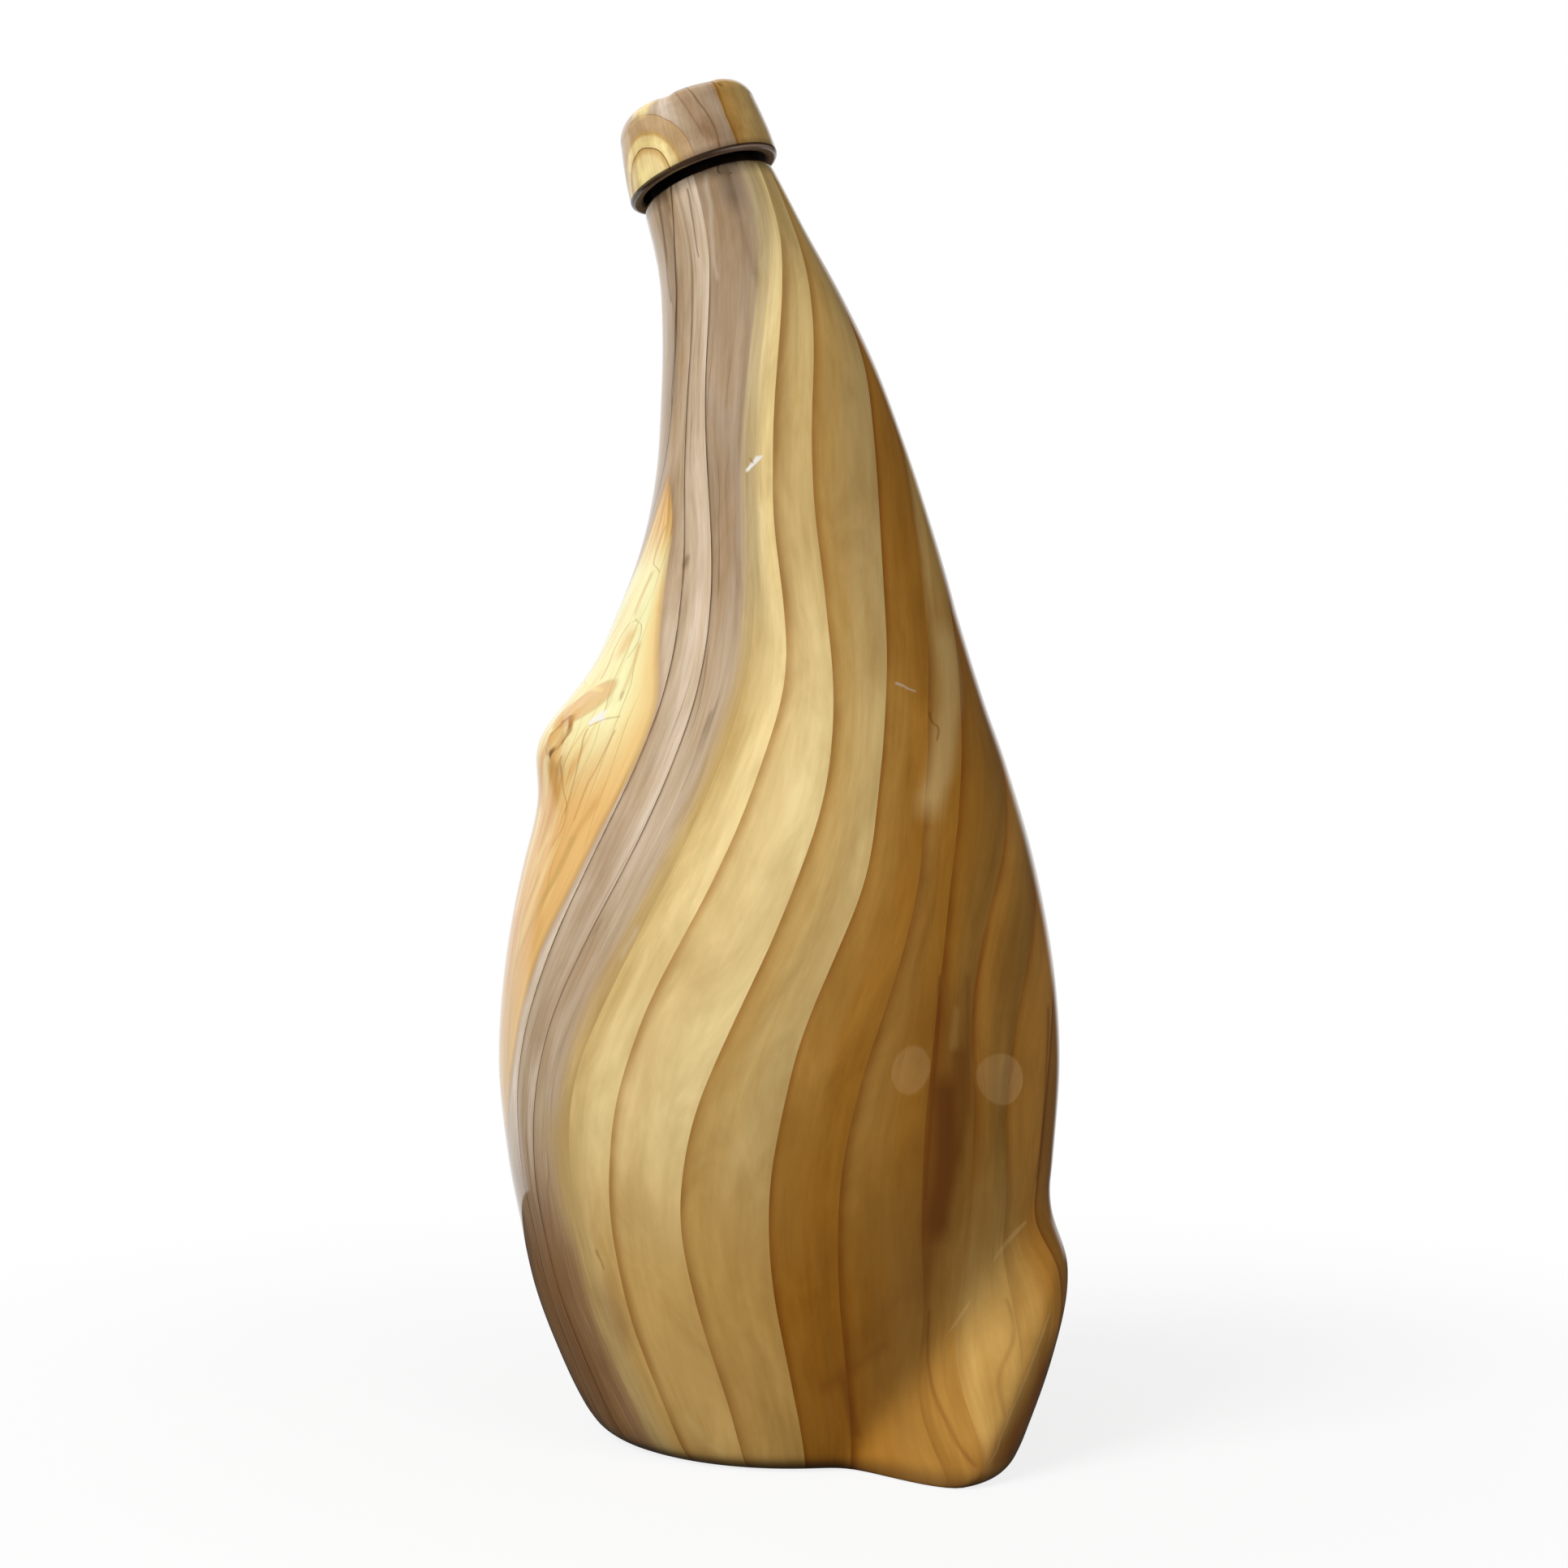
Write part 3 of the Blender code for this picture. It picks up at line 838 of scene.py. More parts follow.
def layStrokes(tree, colour, across, climb, strokes):
    # each stroke: its places, its width in millimetres, how much it thins out, softness, strength, paint.
    # One that climbs is a single smooth curve, and a flatter one is made of straight runs
    place = joinVector(tree, across, climb)
    for points, width, thinned, softness, strength, paintName in strokes:
        wide = abs(points[-1][0] - points[0][0])
        high = abs(points[-1][1] - points[0][1])
        if high > leastClimb * wide:
            mask = curvedStroke(tree, across, climb, points, width, thinned, softness)
        else:
            mask = straightStrokes(tree, place, points, width, thinned, softness)
        colour = blend(tree, product(tree, mask, strength), colour, paints[paintName])
    return colour


def layOvals(tree, colour, place, ovals):
    # each oval: middle, radii, turn, half line, softness, and the strength and paint of fill and outline
    for middle, radii, turn, line, softness, fill, fillPaint, edge, edgePaint in ovals:
        shape = useGroup(tree, ovalGroup, Place=place, Middle=(*middle, 0), Radii=(*radii, 1),
                         Turn=math.radians(turn), Line=line, Softness=softness)
        colour = blend(tree, product(tree, shape["Inside"], fill), colour, paints[fillPaint])
        colour = blend(tree, product(tree, shape["Outline"], edge), colour, paints[edgePaint])
    return colour


# What each band is painted with, just after its line and just before the next one: in the middle of the
# trunk, up the neck and down at the foot. Then its line's strength and width, and how streaky it is

bandPaints = {
    "crackLeft": ("taupe taupePale", "stone taupe", "taupeBrown walnut", 0.9, 0.34, 0.42),
    "crackMiddle": ("taupe taupePale", "taupe taupePale", "taupeBrown walnut", 0.9, 0.34, 0.42),
    "crackRight": ("taupe taupe", "taupeDeep taupeDeep", "walnut taupeBrown", 0.85, 0.3, 0.4),
    "greyEnd": ("taupe sand", "taupeDeep olive", "taupeBrown sand", 0.0, 0.5, 0.2),
    "creamStart": ("straw cream", "olive cream", "sand tan", 0.0, 0.5, 0.12),
    "firstRing": ("wheat cream", "sand straw", "tan tan", 0.7, 1.6, 0.13),
    "secondRing": ("tan straw", "ochre sand", "ochre ochre", 0.6, 1.3, 0.16),
    "thirdRing": ("honey umber", "umber umber", "bark bark", 0.6, 1.0, 0.24),
    "fourthRing": ("honey umber", "tan ochre", "bark fawn", 0.7, 1.6, 0.2),
    "fifthRing": ("umber fawn", "umber umber", "fawn honey", 0.72, 1.8, 0.2),
    "sixthRing": ("caramel fawn", "umber umber", "ochre ochre", 0.7, 1.4, 0.2),
    "seventhRing": ("caramel caramel", "umber honey", "ochre caramel", 0.7, 1.5, 0.22),
    "sideRing": ("umber caramel", "umber honey", "umber umber", 0.7, 1.3, 0.22),
    "backRingOne": ("umber honey", "umber ochre", "umber ochre", 0.65, 1.3, 0.2),
    "backRingTwo": ("ochre tan", "ochre tan", "ochre tan", 0.6, 1.2, 0.18),
    "backRingThree": ("tan straw", "tan straw", "ochre tan", 0.6, 1.2, 0.16),
    "backRingFour": ("straw cream", "straw straw", "tan straw", 0.65, 1.4, 0.14),
    "backRingFive": ("cream cream", "sand cream", "tan straw", 0.65, 1.4, 0.14),
    "backCreamEnd": ("butter olive", "cream sand", "straw ochre", 0.0, 0.5, 0.12),
    "backGreyStart": ("olive taupeDeep", "sand taupeDeep", "ochre taupeBrown", 0.0, 0.5, 0.2),
    "backCrackRight": ("taupe taupePale", "taupe taupePale", "taupeBrown walnut", 0.85, 0.3, 0.3),
    "backCrackMiddle": ("taupePale taupe", "taupe taupeDeep", "walnut taupeBrown", 0.9, 0.34, 0.34),
}

trunkGlaze = {
    "lineTint": (0.52, 0.32, 0.14),
    "crackTint": (0.10, 0.06, 0.03),
    "crackFrom": (0.76, 0.82),  # lines stronger than this are cracks
    "neckFrom": 155.0,
    "neckTo": 206.0,
    "footFrom": 82.0,
    "footTo": 34.0,
    "patches": 0.75,
    "wash": 0.16,
    "widestLine": 4.0,
    "lineFalloff": 0.8,
    "hairline": 0.3,
    "hairlineReach": 0.3,
    "hairStrength": 0.32,
    "rootLines": ("fifthRing", "seventhRing"),
    "rootLineFade": 0.7,
    "neckLineFade": (258.0, 276.0, 1.0, 0.15),
    "lensEdge": 0.3,
    "lensBorder": (0.1, 2.4, 0.4, 0.0),
    "wobble": 0.9,
    "knotWobble": 0.6,
    # the bottom few millimetres painted darker in ink: heights, least and greatest strength
    "footEdgeDarkening": (4.5, 0.4, 0.0, 0.6),
    # painted shade under the cap: the heights it spans, and its least and greatest strength
    "shadeUnderCap": (283.5, 288.0, 0.0, 1.4),
    "bumpStrength": 0.6,
    "lineDepth": 3.0,
}

# Stains, worn spots, darker washes and some painted shade and highlights of the trunk: places are
# (azimuth, height along the spine in mm), and what follows them is as layStrokes says
trunkMarks = (
    (((304, 104), (304, 76), (302, 44)), 12.0, 0.0, 8.0, 0.4, "shade"),
    (((303.4, 84), (303.8, 66), (302.8, 50)), 6.6, 0.0, 2.6, 0.85, "shade"),
    (((273.5, 82), (273, 60)), 9.0, 0.0, 6.0, 0.4, "bark"),
    (((265, 176), (262.5, 161)), 4.0, 0.3, 2.2, 0.45, "cream"),
    (((231, 137), (229.5, 127), (224, 105), (214.5, 87)), 9.0, 0.2, 4.0, 0.4, "taupeBrown"),
    (((220, 74), (222, 63), (221, 50)), 11.0, 0.2, 5.0, 0.55, "sand"),
    (((307.5, 90), (308, 76), (307, 66)), 2.6, 0.3, 1.8, 0.6, "shade"),
    (((306, 68), (305, 58), (303, 49)), 2.2, 0.3, 2.0, 0.4, "shade"),
    (((303, 106), (301.5, 90), (300, 71), (299.7, 58)), 0.8, 0.0, 0.4, 0.5, "shade"),
    (((310, 106), (309, 92), (309.5, 76)), 1.4, 0.0, 1.0, 0.4, "shade"),
    (((306.5, 99), (305.5, 90)), 1.6, -0.5, 0.8, 0.4, "ochre"),
    (((301.5, 52), (301, 34)), 3.0, 0.6, 2.6, 0.45, "shade"),
    # painted shadow: a soft shade along the lobe's left edge, where the trunk turns away from the light
    (((301, 45), (292, 34), (281, 17)), 7.0, 0.2, 6.0, 0.24, "shade"),
    (((310.5, 84), (311.5, 68), (309, 54)), 7.0, 0.2, 4.0, 0.4, "bark"),
    # painted highlight: the lobe's upper face, where the light meets it, painted lighter in tan
    (((317, 42), (313, 32)), 11.0, 0.0, 6.0, 0.35, "tan"),
    (
        ((331, 182), (328.5, 175), (325, 168), (318, 159), (312, 150), (306, 141)),
        8.6, 0.2, 3.0, 0.5, "wheat",
    ),
    (((313, 163), (313, 160.5), (314.5, 159), (313, 156.5)), 0.8, 0.3, 0.4, 0.6, "shade"),
    (((340.5, 97), (337, 81), (336, 68), (335.5, 58)), 1.8, 0.2, 1.0, 0.55, "shade"),
    (((302.5, 34), (303.2, 24), (303.6, 14), (304, 4)), 0.5, 0.0, 0.4, 0.55, "shade"),
    (((320, 35), (311.5, 13)), 0.5, 0.0, 0.4, 0.3, "shade"),
    (((283, 20.5), (285, 14), (287, 7.5)), 1.6, -0.4, 0.7, 0.45, "shade"),
    (((279, 19), (292, 27)), 2.4, 0.5, 1.8, 0.35, "shade"),
    (((303, 169), (309.5, 167.5)), 0.5, 0.4, 0.25, 0.6, "clayPale"),
    (((254.8, 216.6), (257.2, 218), (260.6, 219.9)), 0.9, -1.0, 0.3, 0.95, "white"),
    (((256.5, 219.6), (257.5, 218.4)), 0.5, 0.0, 0.25, 0.7, "bark"),
    (((240.5, 116.5), (237.5, 109.5)), 1.6, 0.3, 0.9, 0.4, "taupePale"),
    (((231, 198.5), (231, 195.5)), 1.4, 0.0, 0.8, 0.5, "ink"),
    (((230, 39), (231.5, 26)), 6.5, 0.2, 4.0, 0.5, "taupeBrown"),
    (((228, 46), (229.5, 42)), 0.6, 0.2, 0.4, 0.5, "walnutDeep"),
    (((245, 12), (247, 6)), 2.4, 0.3, 1.6, 0.4, "straw"),
    (((249, 5.5), (251, 3.5)), 1.8, 0.3, 1.2, 0.45, "straw"),
    # painted shadow: the cap's shade on the neck's top right, in gap brown
    (((285.5, 288), (283, 283), (281, 277)), 4.6, 0.5, 2.6, 0.6, "gapBrown"),
    (((281.5, 280), (280, 273), (276, 260)), 1.8, 0.4, 1.2, 0.35, "walnutDeep"),
    (((281, 288), (279, 285.5), (284.5, 284.5), (288, 285)), 0.4, 0.2, 0.2, 0.85, "ink"),
    (((221, 288), (218, 284), (215.5, 280), (213, 276.5), (209, 262)), 0.9, 0.0, 0.45, 0.6, "walnutDeep"),
    (
        ((236, 288), (230, 281), (223, 274), (216, 262), (211.5, 253), (208.5, 236)),
        0.45, 0.2, 0.2, 0.8, "ink",
    ),
    (((229, 288), (228, 281)), 2.2, 0.5, 1.4, 0.5, "ink"),
    (((250, 285), (246, 278), (242.5, 269)), 0.4, 0.3, 0.2, 0.6, "ink"),
    (((268, 287), (265, 283.5), (263, 279.5), (256, 272), (252, 262)), 1.0, 0.5, 0.7, 0.42, "clayPale"),
    # painted shade: the lobe's right flank near the foot, turned away from the light, painted dark
    (((311, 0), (320, 14), (325, 24)), 10.0, 0.2, 4.5, 0.8, "shade"),
    (((318, 0), (327, 13), (331, 24)), 8.0, 0.2, 4.0, 0.7, "ink"),
)


sapwood = {
    # paints up the trunk, as (share of the top height, paint)
    "climb": (
        (0.30, "straw"), (0.50, "apricot"), (0.62, "peach"), (0.71, "lemon"), (0.85, "lemon"),
        (0.90, "peach"), (0.96, "amber"),
    ),
    "topHeight": 230.0,
    "leftSide": (0.75, 0.2, 0.25, 1.0),
    "rightBorder": (0.62, 0.95, 0.0, 0.75),
    "borderEnd": (204.0, 188.0),
    "broadHeights": (172.0, 150.0, 0.2, 0.95),
    "fineHeights": (172.0, 140.0, 0.2, 0.8),
    "tipHeights": (196.0, 212.0, 0.0, 0.7),
    "paleStreaks": 0.4,
    "hairs": 0.5,
}


def lensPaint(tree, across, half, along, turn, gauge):
    # pale sapwood with amber streaks that part round the branch stub
    share = calc(tree, "DIVIDE", across, calc(tree, "MAXIMUM", half, 1.0))

    def streaks(cells, rise, shift, detail, roughness, distortion):
        place = joinVector(tree, product(tree, share, cells), product(tree, along, rise), shift)
        return mottle(tree, place, 1.0, detail, roughness, distortion)

    base = rampOf(tree, calc(tree, "DIVIDE", along, sapwood["topHeight"]), sapwood["climb"])
    broad = streaks(5.0, 0.03, 3.0, 3.0, 0.5, 0.6)
    onLeft = ease(tree, share, *sapwood["leftSide"])
    low = product(tree, ease(tree, along, *sapwood["broadHeights"]), onLeft)
    colour = blend(tree, product(tree, ease(tree, broad, 0.48, 0.64), low), base, paints["apricot"])
    pale = streaks(4.0, 0.02, 11.0, 2.0, 0.5, 0.4)
    colour = blend(tree, ease(tree, pale, 0.50, 0.62, 0.0, sapwood["paleStreaks"]), colour, paints["butter"])
    edge = product(tree, ease(tree, share, *sapwood["rightBorder"]), ease(tree, along, *sapwood["borderEnd"]))
    colour = blend(tree, edge, colour, paints["peach"])
    fine = streaks(15.0, 0.045, 23.0, 3.0, 0.6, 0.5)
    fine = product(tree, ease(tree, fine, 0.5, 0.66), ease(tree, along, *sapwood["fineHeights"]), onLeft)
    colour = blend(tree, fine, colour, paints["amber"])
    nearTip = product(tree, ease(tree, broad, 0.44, 0.56), ease(tree, along, *sapwood["tipHeights"]))
    colour = blend(tree, nearTip, colour, paints["amber"])
    hairs = useGroup(tree, hairGroup, Turn=turn, Along=along, Gauge=gauge, Cells=170.0, Width=0.28,
                     Wander=9.0, Fill=0.5)["Mask"]
    return blend(tree, product(tree, hairs, sapwood["hairs"]), colour, paints["honey"])


# Marks round the branch stub, in millimetres round the trunk and up from the stub's middle: strokes
# that lie under the ovals, the ovals, and strokes over them

knotUnderStrokes = (
    (((1.9, -16), (0.5, -40)), 3.0, 0.4, 1.2, 0.8, "butter"),
    (((10.0, -4.0), (11.5, -16), (9.0, -26)), 5.5, 0.5, 2.0, 0.6, "amber"),
    (((28.2, -14), (24.5, -24)), 3.0, 0.5, 1.5, 0.5, "amber"),
    (((13, -30.5), (9.1, -40), (9.4, -52)), 1.6, 0.8, 0.5, 0.7, "tan"),
    (((24.5, -22), (16, -40), (8.9, -53), (7.9, -77)), 2.6, 0.7, 0.6, 0.7, "tan"),
    (((12.2, -4), (14.1, -11), (18.7, -19), (16.2, -24.5)), 0.6, 0.4, 0.3, 0.48, "rust"),
    (((17.2, 2), (18.3, -6), (17.5, -17)), 0.6, 0.4, 0.3, 0.48, "rust"),
)
knotOvals = (
    ((11.6, 7.4), (8.0, 3.4), -32.0, 0.1, 0.6, 0.62, "salmon", 0.4, "honey"),
    ((8.6, 0.4), (2.4, 4.6), 26.0, 0.15, 0.45, 0.45, "amber", 0.65, "bark"),
    ((8.3, -3.6), (0.6, 1.2), 15.0, 0.2, 0.4, 0.8, "shade", 0.0, "shade"),
)
knotOverStrokes = (
    (((25.9, 1.5), (25.1, -6), (23.5, -11), (22.6, -18.5)), 0.6, 0.4, 0.3, 0.42, "rust"),
    (((14.4, 26.5), (11.7, 25.5), (10, 20.5), (11.3, 15), (11.4, 13)), 0.5, 0.0, 0.25, 0.48, "rust"),
    (((14.4, 26.5), (17.5, 25), (19.1, 21.5), (18, 17.5)), 0.5, 0.5, 0.25, 0.48, "rust"),
    (((14.6, 24), (14, 18)), 4.4, 0.5, 1.4, 0.55, "apricot"),
    (((19.9, 21), (21.1, 16.5), (22.2, 10)), 1.6, 0.4, 0.7, 0.45, "amber"),
    (((22.2, 10), (22.6, 8)), 1.2, 0.3, 0.5, 0.5, "rust"),
    (((12.8, 38), (12.3, 33.5), (12.3, 29.5), (12.6, 27.5)), 1.6, 0.5, 0.7, 0.5, "amber"),
    (((12.4, 49.5), (11.6, 46), (11.9, 40.5), (15.7, 37.5)), 0.6, 0.0, 0.3, 0.42, "rust"),
    (((10.3, 61), (13.1, 56.5), (15.7, 46.5)), 1.0, 0.3, 0.5, 0.42, "rust"),
    (((21.3, 29.5), (25.1, 26), (28.4, 14.5)), 2.4, 0.4, 1.2, 0.5, "peach"),
    # painted highlight: a pale line along the top of the branch stub
    (((-1.6, 9), (6, 11.5), (14.9, 10.5)), 0.9, 0.2, 0.4, 0.6, "butter"),
    (((11.5, 3), (9.6, 4.5), (7.2, 3.5)), 0.8, 0.2, 0.3, 0.48, "rust"),
    (((11.5, 3), (12.1, 1), (10.4, -1.5)), 1.2, 0.5, 0.4, 0.75, "bark"),
    # painted highlight: a white glint in the crease to the right of the eye
    (((17.0, 3.5), (18.3, 4.8), (20.3, 4)), 1.8, 0.2, 0.5, 0.9, "white"),
    (((19.6, 6), (18.4, 3.6)), 1.2, 0.2, 0.4, 0.9, "white"),
    (((17.1, 2.5), (21.2, 4), (25.3, 4.5)), 0.4, 0.3, 0.25, 0.42, "rust"),
)


def bandColour(tree, band, share, turn, along):
    # a band goes from its first paint to its last, and the neck and the foot have pairs of their own
    fade = mottleRound(tree, turn, along, 110.0, 0.03, 4.0, 3.0, 0.6, 0.3)
    passed = calc(tree, "ADD", share, product(tree, centred(tree, fade), 0.8))
    passed = ease(tree, passed, 0.0, 0.9)
    inNeck = ease(tree, along, trunkGlaze["neckFrom"], trunkGlaze["neckTo"])
    inFoot = ease(tree, along, trunkGlaze["footFrom"], trunkGlaze["footTo"])
    shades = []
    for zone in range(3):
        pairs = [bandPaints[name][zone].split() for name in lineNames]
        first = perBand(tree, band, [paints[pair[0]] for pair in pairs])
        last = perBand(tree, band, [paints[pair[1]] for pair in pairs])
        shades.append(blend(tree, passed, first, last))
    return blend(tree, inFoot, blend(tree, inNeck, shades[0], shades[1]), shades[2]), inFoot


def grainLine(tree, band, share, along, gauge, strength, width, inFoot):
    # a line that is dark where its band starts and fades softly, with a crisp hairline at its edge
    past = product(tree, share, gauge)
    core = calc(tree, "DIVIDE", past, product(tree, width, -trunkGlaze["widestLine"]))
    core = calc(tree, "EXPONENT", product(tree, core, core, -trunkGlaze["lineFalloff"]))
    weight = mottle(tree, joinVector(tree, band, product(tree, along, 0.045), 9.0), 1.0, 3.0, 0.6)
    crisp = calc(tree, "EXPONENT", calc(tree, "DIVIDE", past, -trunkGlaze["hairlineReach"]))
    crisp = product(tree, crisp, ease(tree, strength, 0.05, 0.3), trunkGlaze["hairline"])
    line = product(tree, core, strength, ease(tree, weight, 0.25, 0.6, 0.55, 1.0))
    line = calc(tree, "ADD", line, product(tree, crisp, calc(tree, "SUBTRACT", 1.0, line)))
    first, last = (float(lineNames.index(name)) for name in trunkGlaze["rootLines"])
    onRoot = product(tree, calc(tree, "GREATER_THAN", band, first - 0.5),
                     calc(tree, "LESS_THAN", band, last + 0.5))
    faded = product(tree, onRoot, inFoot, trunkGlaze["rootLineFade"])
    line = product(tree, line, calc(tree, "SUBTRACT", 1.0, faded))
    return product(tree, line, ease(tree, along, *trunkGlaze["neckLineFade"]))


def placedStrokes(strokes, placeOf):
    # the same strokes, with their places turned into millimetres
    return [([placeOf(*point) for point in points], *rest) for points, *rest in strokes]


def trunkMarkPlace(azimuth, height):
    return tuple(float(value) for value in frontPlace(height * millimetre, azimuth))


def buildTrunkGlaze():
    material, tree, shader = newMaterial("woodGrainGlaze")
    flow, along = colourMap(tree, "grain")
    gauge, front = colourMap(tree, "gauge")
    turn = calc(tree, "DIVIDE", flow, float(lineCount))
    band = calc(tree, "WRAP", flow, float(lineCount), 0.0)
    share = calc(tree, "FRACT", band)
    band = calc(tree, "FLOOR", band)
    colour, inFoot = bandColour(tree, band, share, turn, along)

    widest = trunkGlaze["widestLine"]
    kinds = perBand(tree, band, [
        (bandPaints[name][3], bandPaints[name][4] / widest, bandPaints[name][5]) for name in lineNames
    ])
    parts = tree.nodes.new("ShaderNodeSeparateColor")
    tree.links.new(kinds, parts.inputs[0])
    strength, width, streaks = parts.outputs
    patch = joinVector(tree, product(tree, band, 5.7), product(tree, share, 1.5), product(tree, along, 0.04))
    brushed = useGroup(tree, brushGroup, Colour=colour, Turn=turn, Along=along, Streaks=streaks,
                       Wash=trunkGlaze["wash"], Darker=paints["honey"], Patch=patch,
                       Patches=trunkGlaze["patches"])
    isCrack = ease(tree, strength, *trunkGlaze["crackFrom"])
    hairs = useGroup(tree, hairGroup, Turn=turn, Along=along,
                     Gauge=product(tree, gauge, float(lineCount)), Cells=96.0, Width=0.2, Wander=5.0,
                     Fill=0.42)["Mask"]
    hairs = product(tree, hairs, product(tree, isCrack, trunkGlaze["hairStrength"]))
    line = grainLine(tree, band, share, along, gauge, strength, width, inFoot)
    line = calc(tree, "MAXIMUM", line, hairs)
    tint = blend(tree, isCrack, trunkGlaze["lineTint"], trunkGlaze["crackTint"])
    tint = blend(tree, line, (1, 1, 1), tint)
    colour = blend(tree, 1.0, brushed["Colour"], tint, "MULTIPLY")

    # a hand's slight wobble, which also has each stroke worked out only when its colour is laid
    warp = mottleRound(tree, turn, along, 50.0, 0.05, 2.0, 2.0)
    sway = joinVector(tree, product(tree, warp, 4.0), product(tree, along, 0.12), 17.0)
    sway = centred(tree, mottle(tree, sway, 1.0, 2.0))
    front = calc(tree, "MULTIPLY_ADD", sway, trunkGlaze["wobble"], front)
    risen = calc(tree, "MULTIPLY_ADD", sway, trunkGlaze["wobble"], along)

    across, half = colourMap(tree, "lens")
    lensColour = lensPaint(tree, across, half, along, turn, product(tree, gauge, float(lineCount)))
    knotAcross, knotUp = colourMap(tree, "knot")
    knotAcross = calc(tree, "MULTIPLY_ADD", sway, trunkGlaze["knotWobble"], knotAcross)
    knotUp = calc(tree, "MULTIPLY_ADD", sway, trunkGlaze["knotWobble"], knotUp)
    lensColour = layStrokes(tree, lensColour, knotAcross, knotUp, knotUnderStrokes)
    lensColour = layOvals(tree, lensColour, joinVector(tree, knotAcross, knotUp), knotOvals)
    lensColour = layStrokes(tree, lensColour, knotAcross, knotUp, knotOverStrokes)
    inside = calc(tree, "SUBTRACT", half, calc(tree, "ABSOLUTE", across))
    soft = trunkGlaze["lensEdge"]
    colour = blend(tree, ease(tree, inside, -soft, soft), colour, lensColour)
    border = ease(tree, calc(tree, "ABSOLUTE", inside), *trunkGlaze["lensBorder"])
    colour = blend(tree, border, colour, paints["taupeBrown"])

    colour = layStrokes(tree, colour, front, risen, placedStrokes(trunkMarks, trunkMarkPlace))
    # darker in ink towards the foot's bottom edge
    colour = blend(tree, ease(tree, along, *trunkGlaze["footEdgeDarkening"]), colour, paints["ink"])
    # painted shade: the neck's top just under the cap, mottled and darkened in gap brown
    capShadow = mottleRound(tree, turn, along, 30.0, 0.2, 9.0, 3.0, 0.6)
    capShadow = product(tree, capShadow, ease(tree, along, *trunkGlaze["shadeUnderCap"]))
    colour = blend(tree, capShadow, colour, paints["gapBrown"])
    relief = calc(tree, "SUBTRACT", brushed["Streak"], product(tree, line, trunkGlaze["lineDepth"]))
    coverWithGlaze(tree, shader, colour, relief, trunkGlaze["bumpStrength"])
    return material


clayFinish = {"speck": 0.35, "roughness": 0.9, "grainDepth": 0.0001}
insideFinish = {"roughness": 0.25}
gapShadeFinish = {"roughness": 0.6}


def buildClay():
    material, tree, shader = newMaterial("bareClay")
    colour = cloudyPaint(tree, 90.0, 0.5, "clay", "straw")
    specks = mottle(tree, surfacePlace(tree), 1400.0, 2.0, 0.5)
    colour = blend(tree, ease(tree, specks, 0.62, 0.72, 0.0, clayFinish["speck"]), colour, paints["umber"])
    feedByName(tree, shader, {"Base Color": colour, "Roughness": clayFinish["roughness"]})
    addBump(tree, shader, specks, clayFinish["grainDepth"])
    return material


def buildGapShadePaint():
    # painted shade: clay painted near black inside the cap and on the shoulder under it, where the gap lies
    # in shade
    material, tree, shader = newMaterial("gapShadePaint")
    colour = cloudyPaint(tree, 160.0, 1.0, "gapDark", "gapBrown")
    feedByName(tree, shader, {"Base Color": colour, "Roughness": gapShadeFinish["roughness"]})
    return material


def buildInsideGlaze():
    material, tree, shader = newMaterial("insideGlaze")
    colour = cloudyPaint(tree, 60.0, 0.7, "clay", "tan")
    feedByName(tree, shader, {"Base Color": colour, "Roughness": insideFinish["roughness"]})
    return material


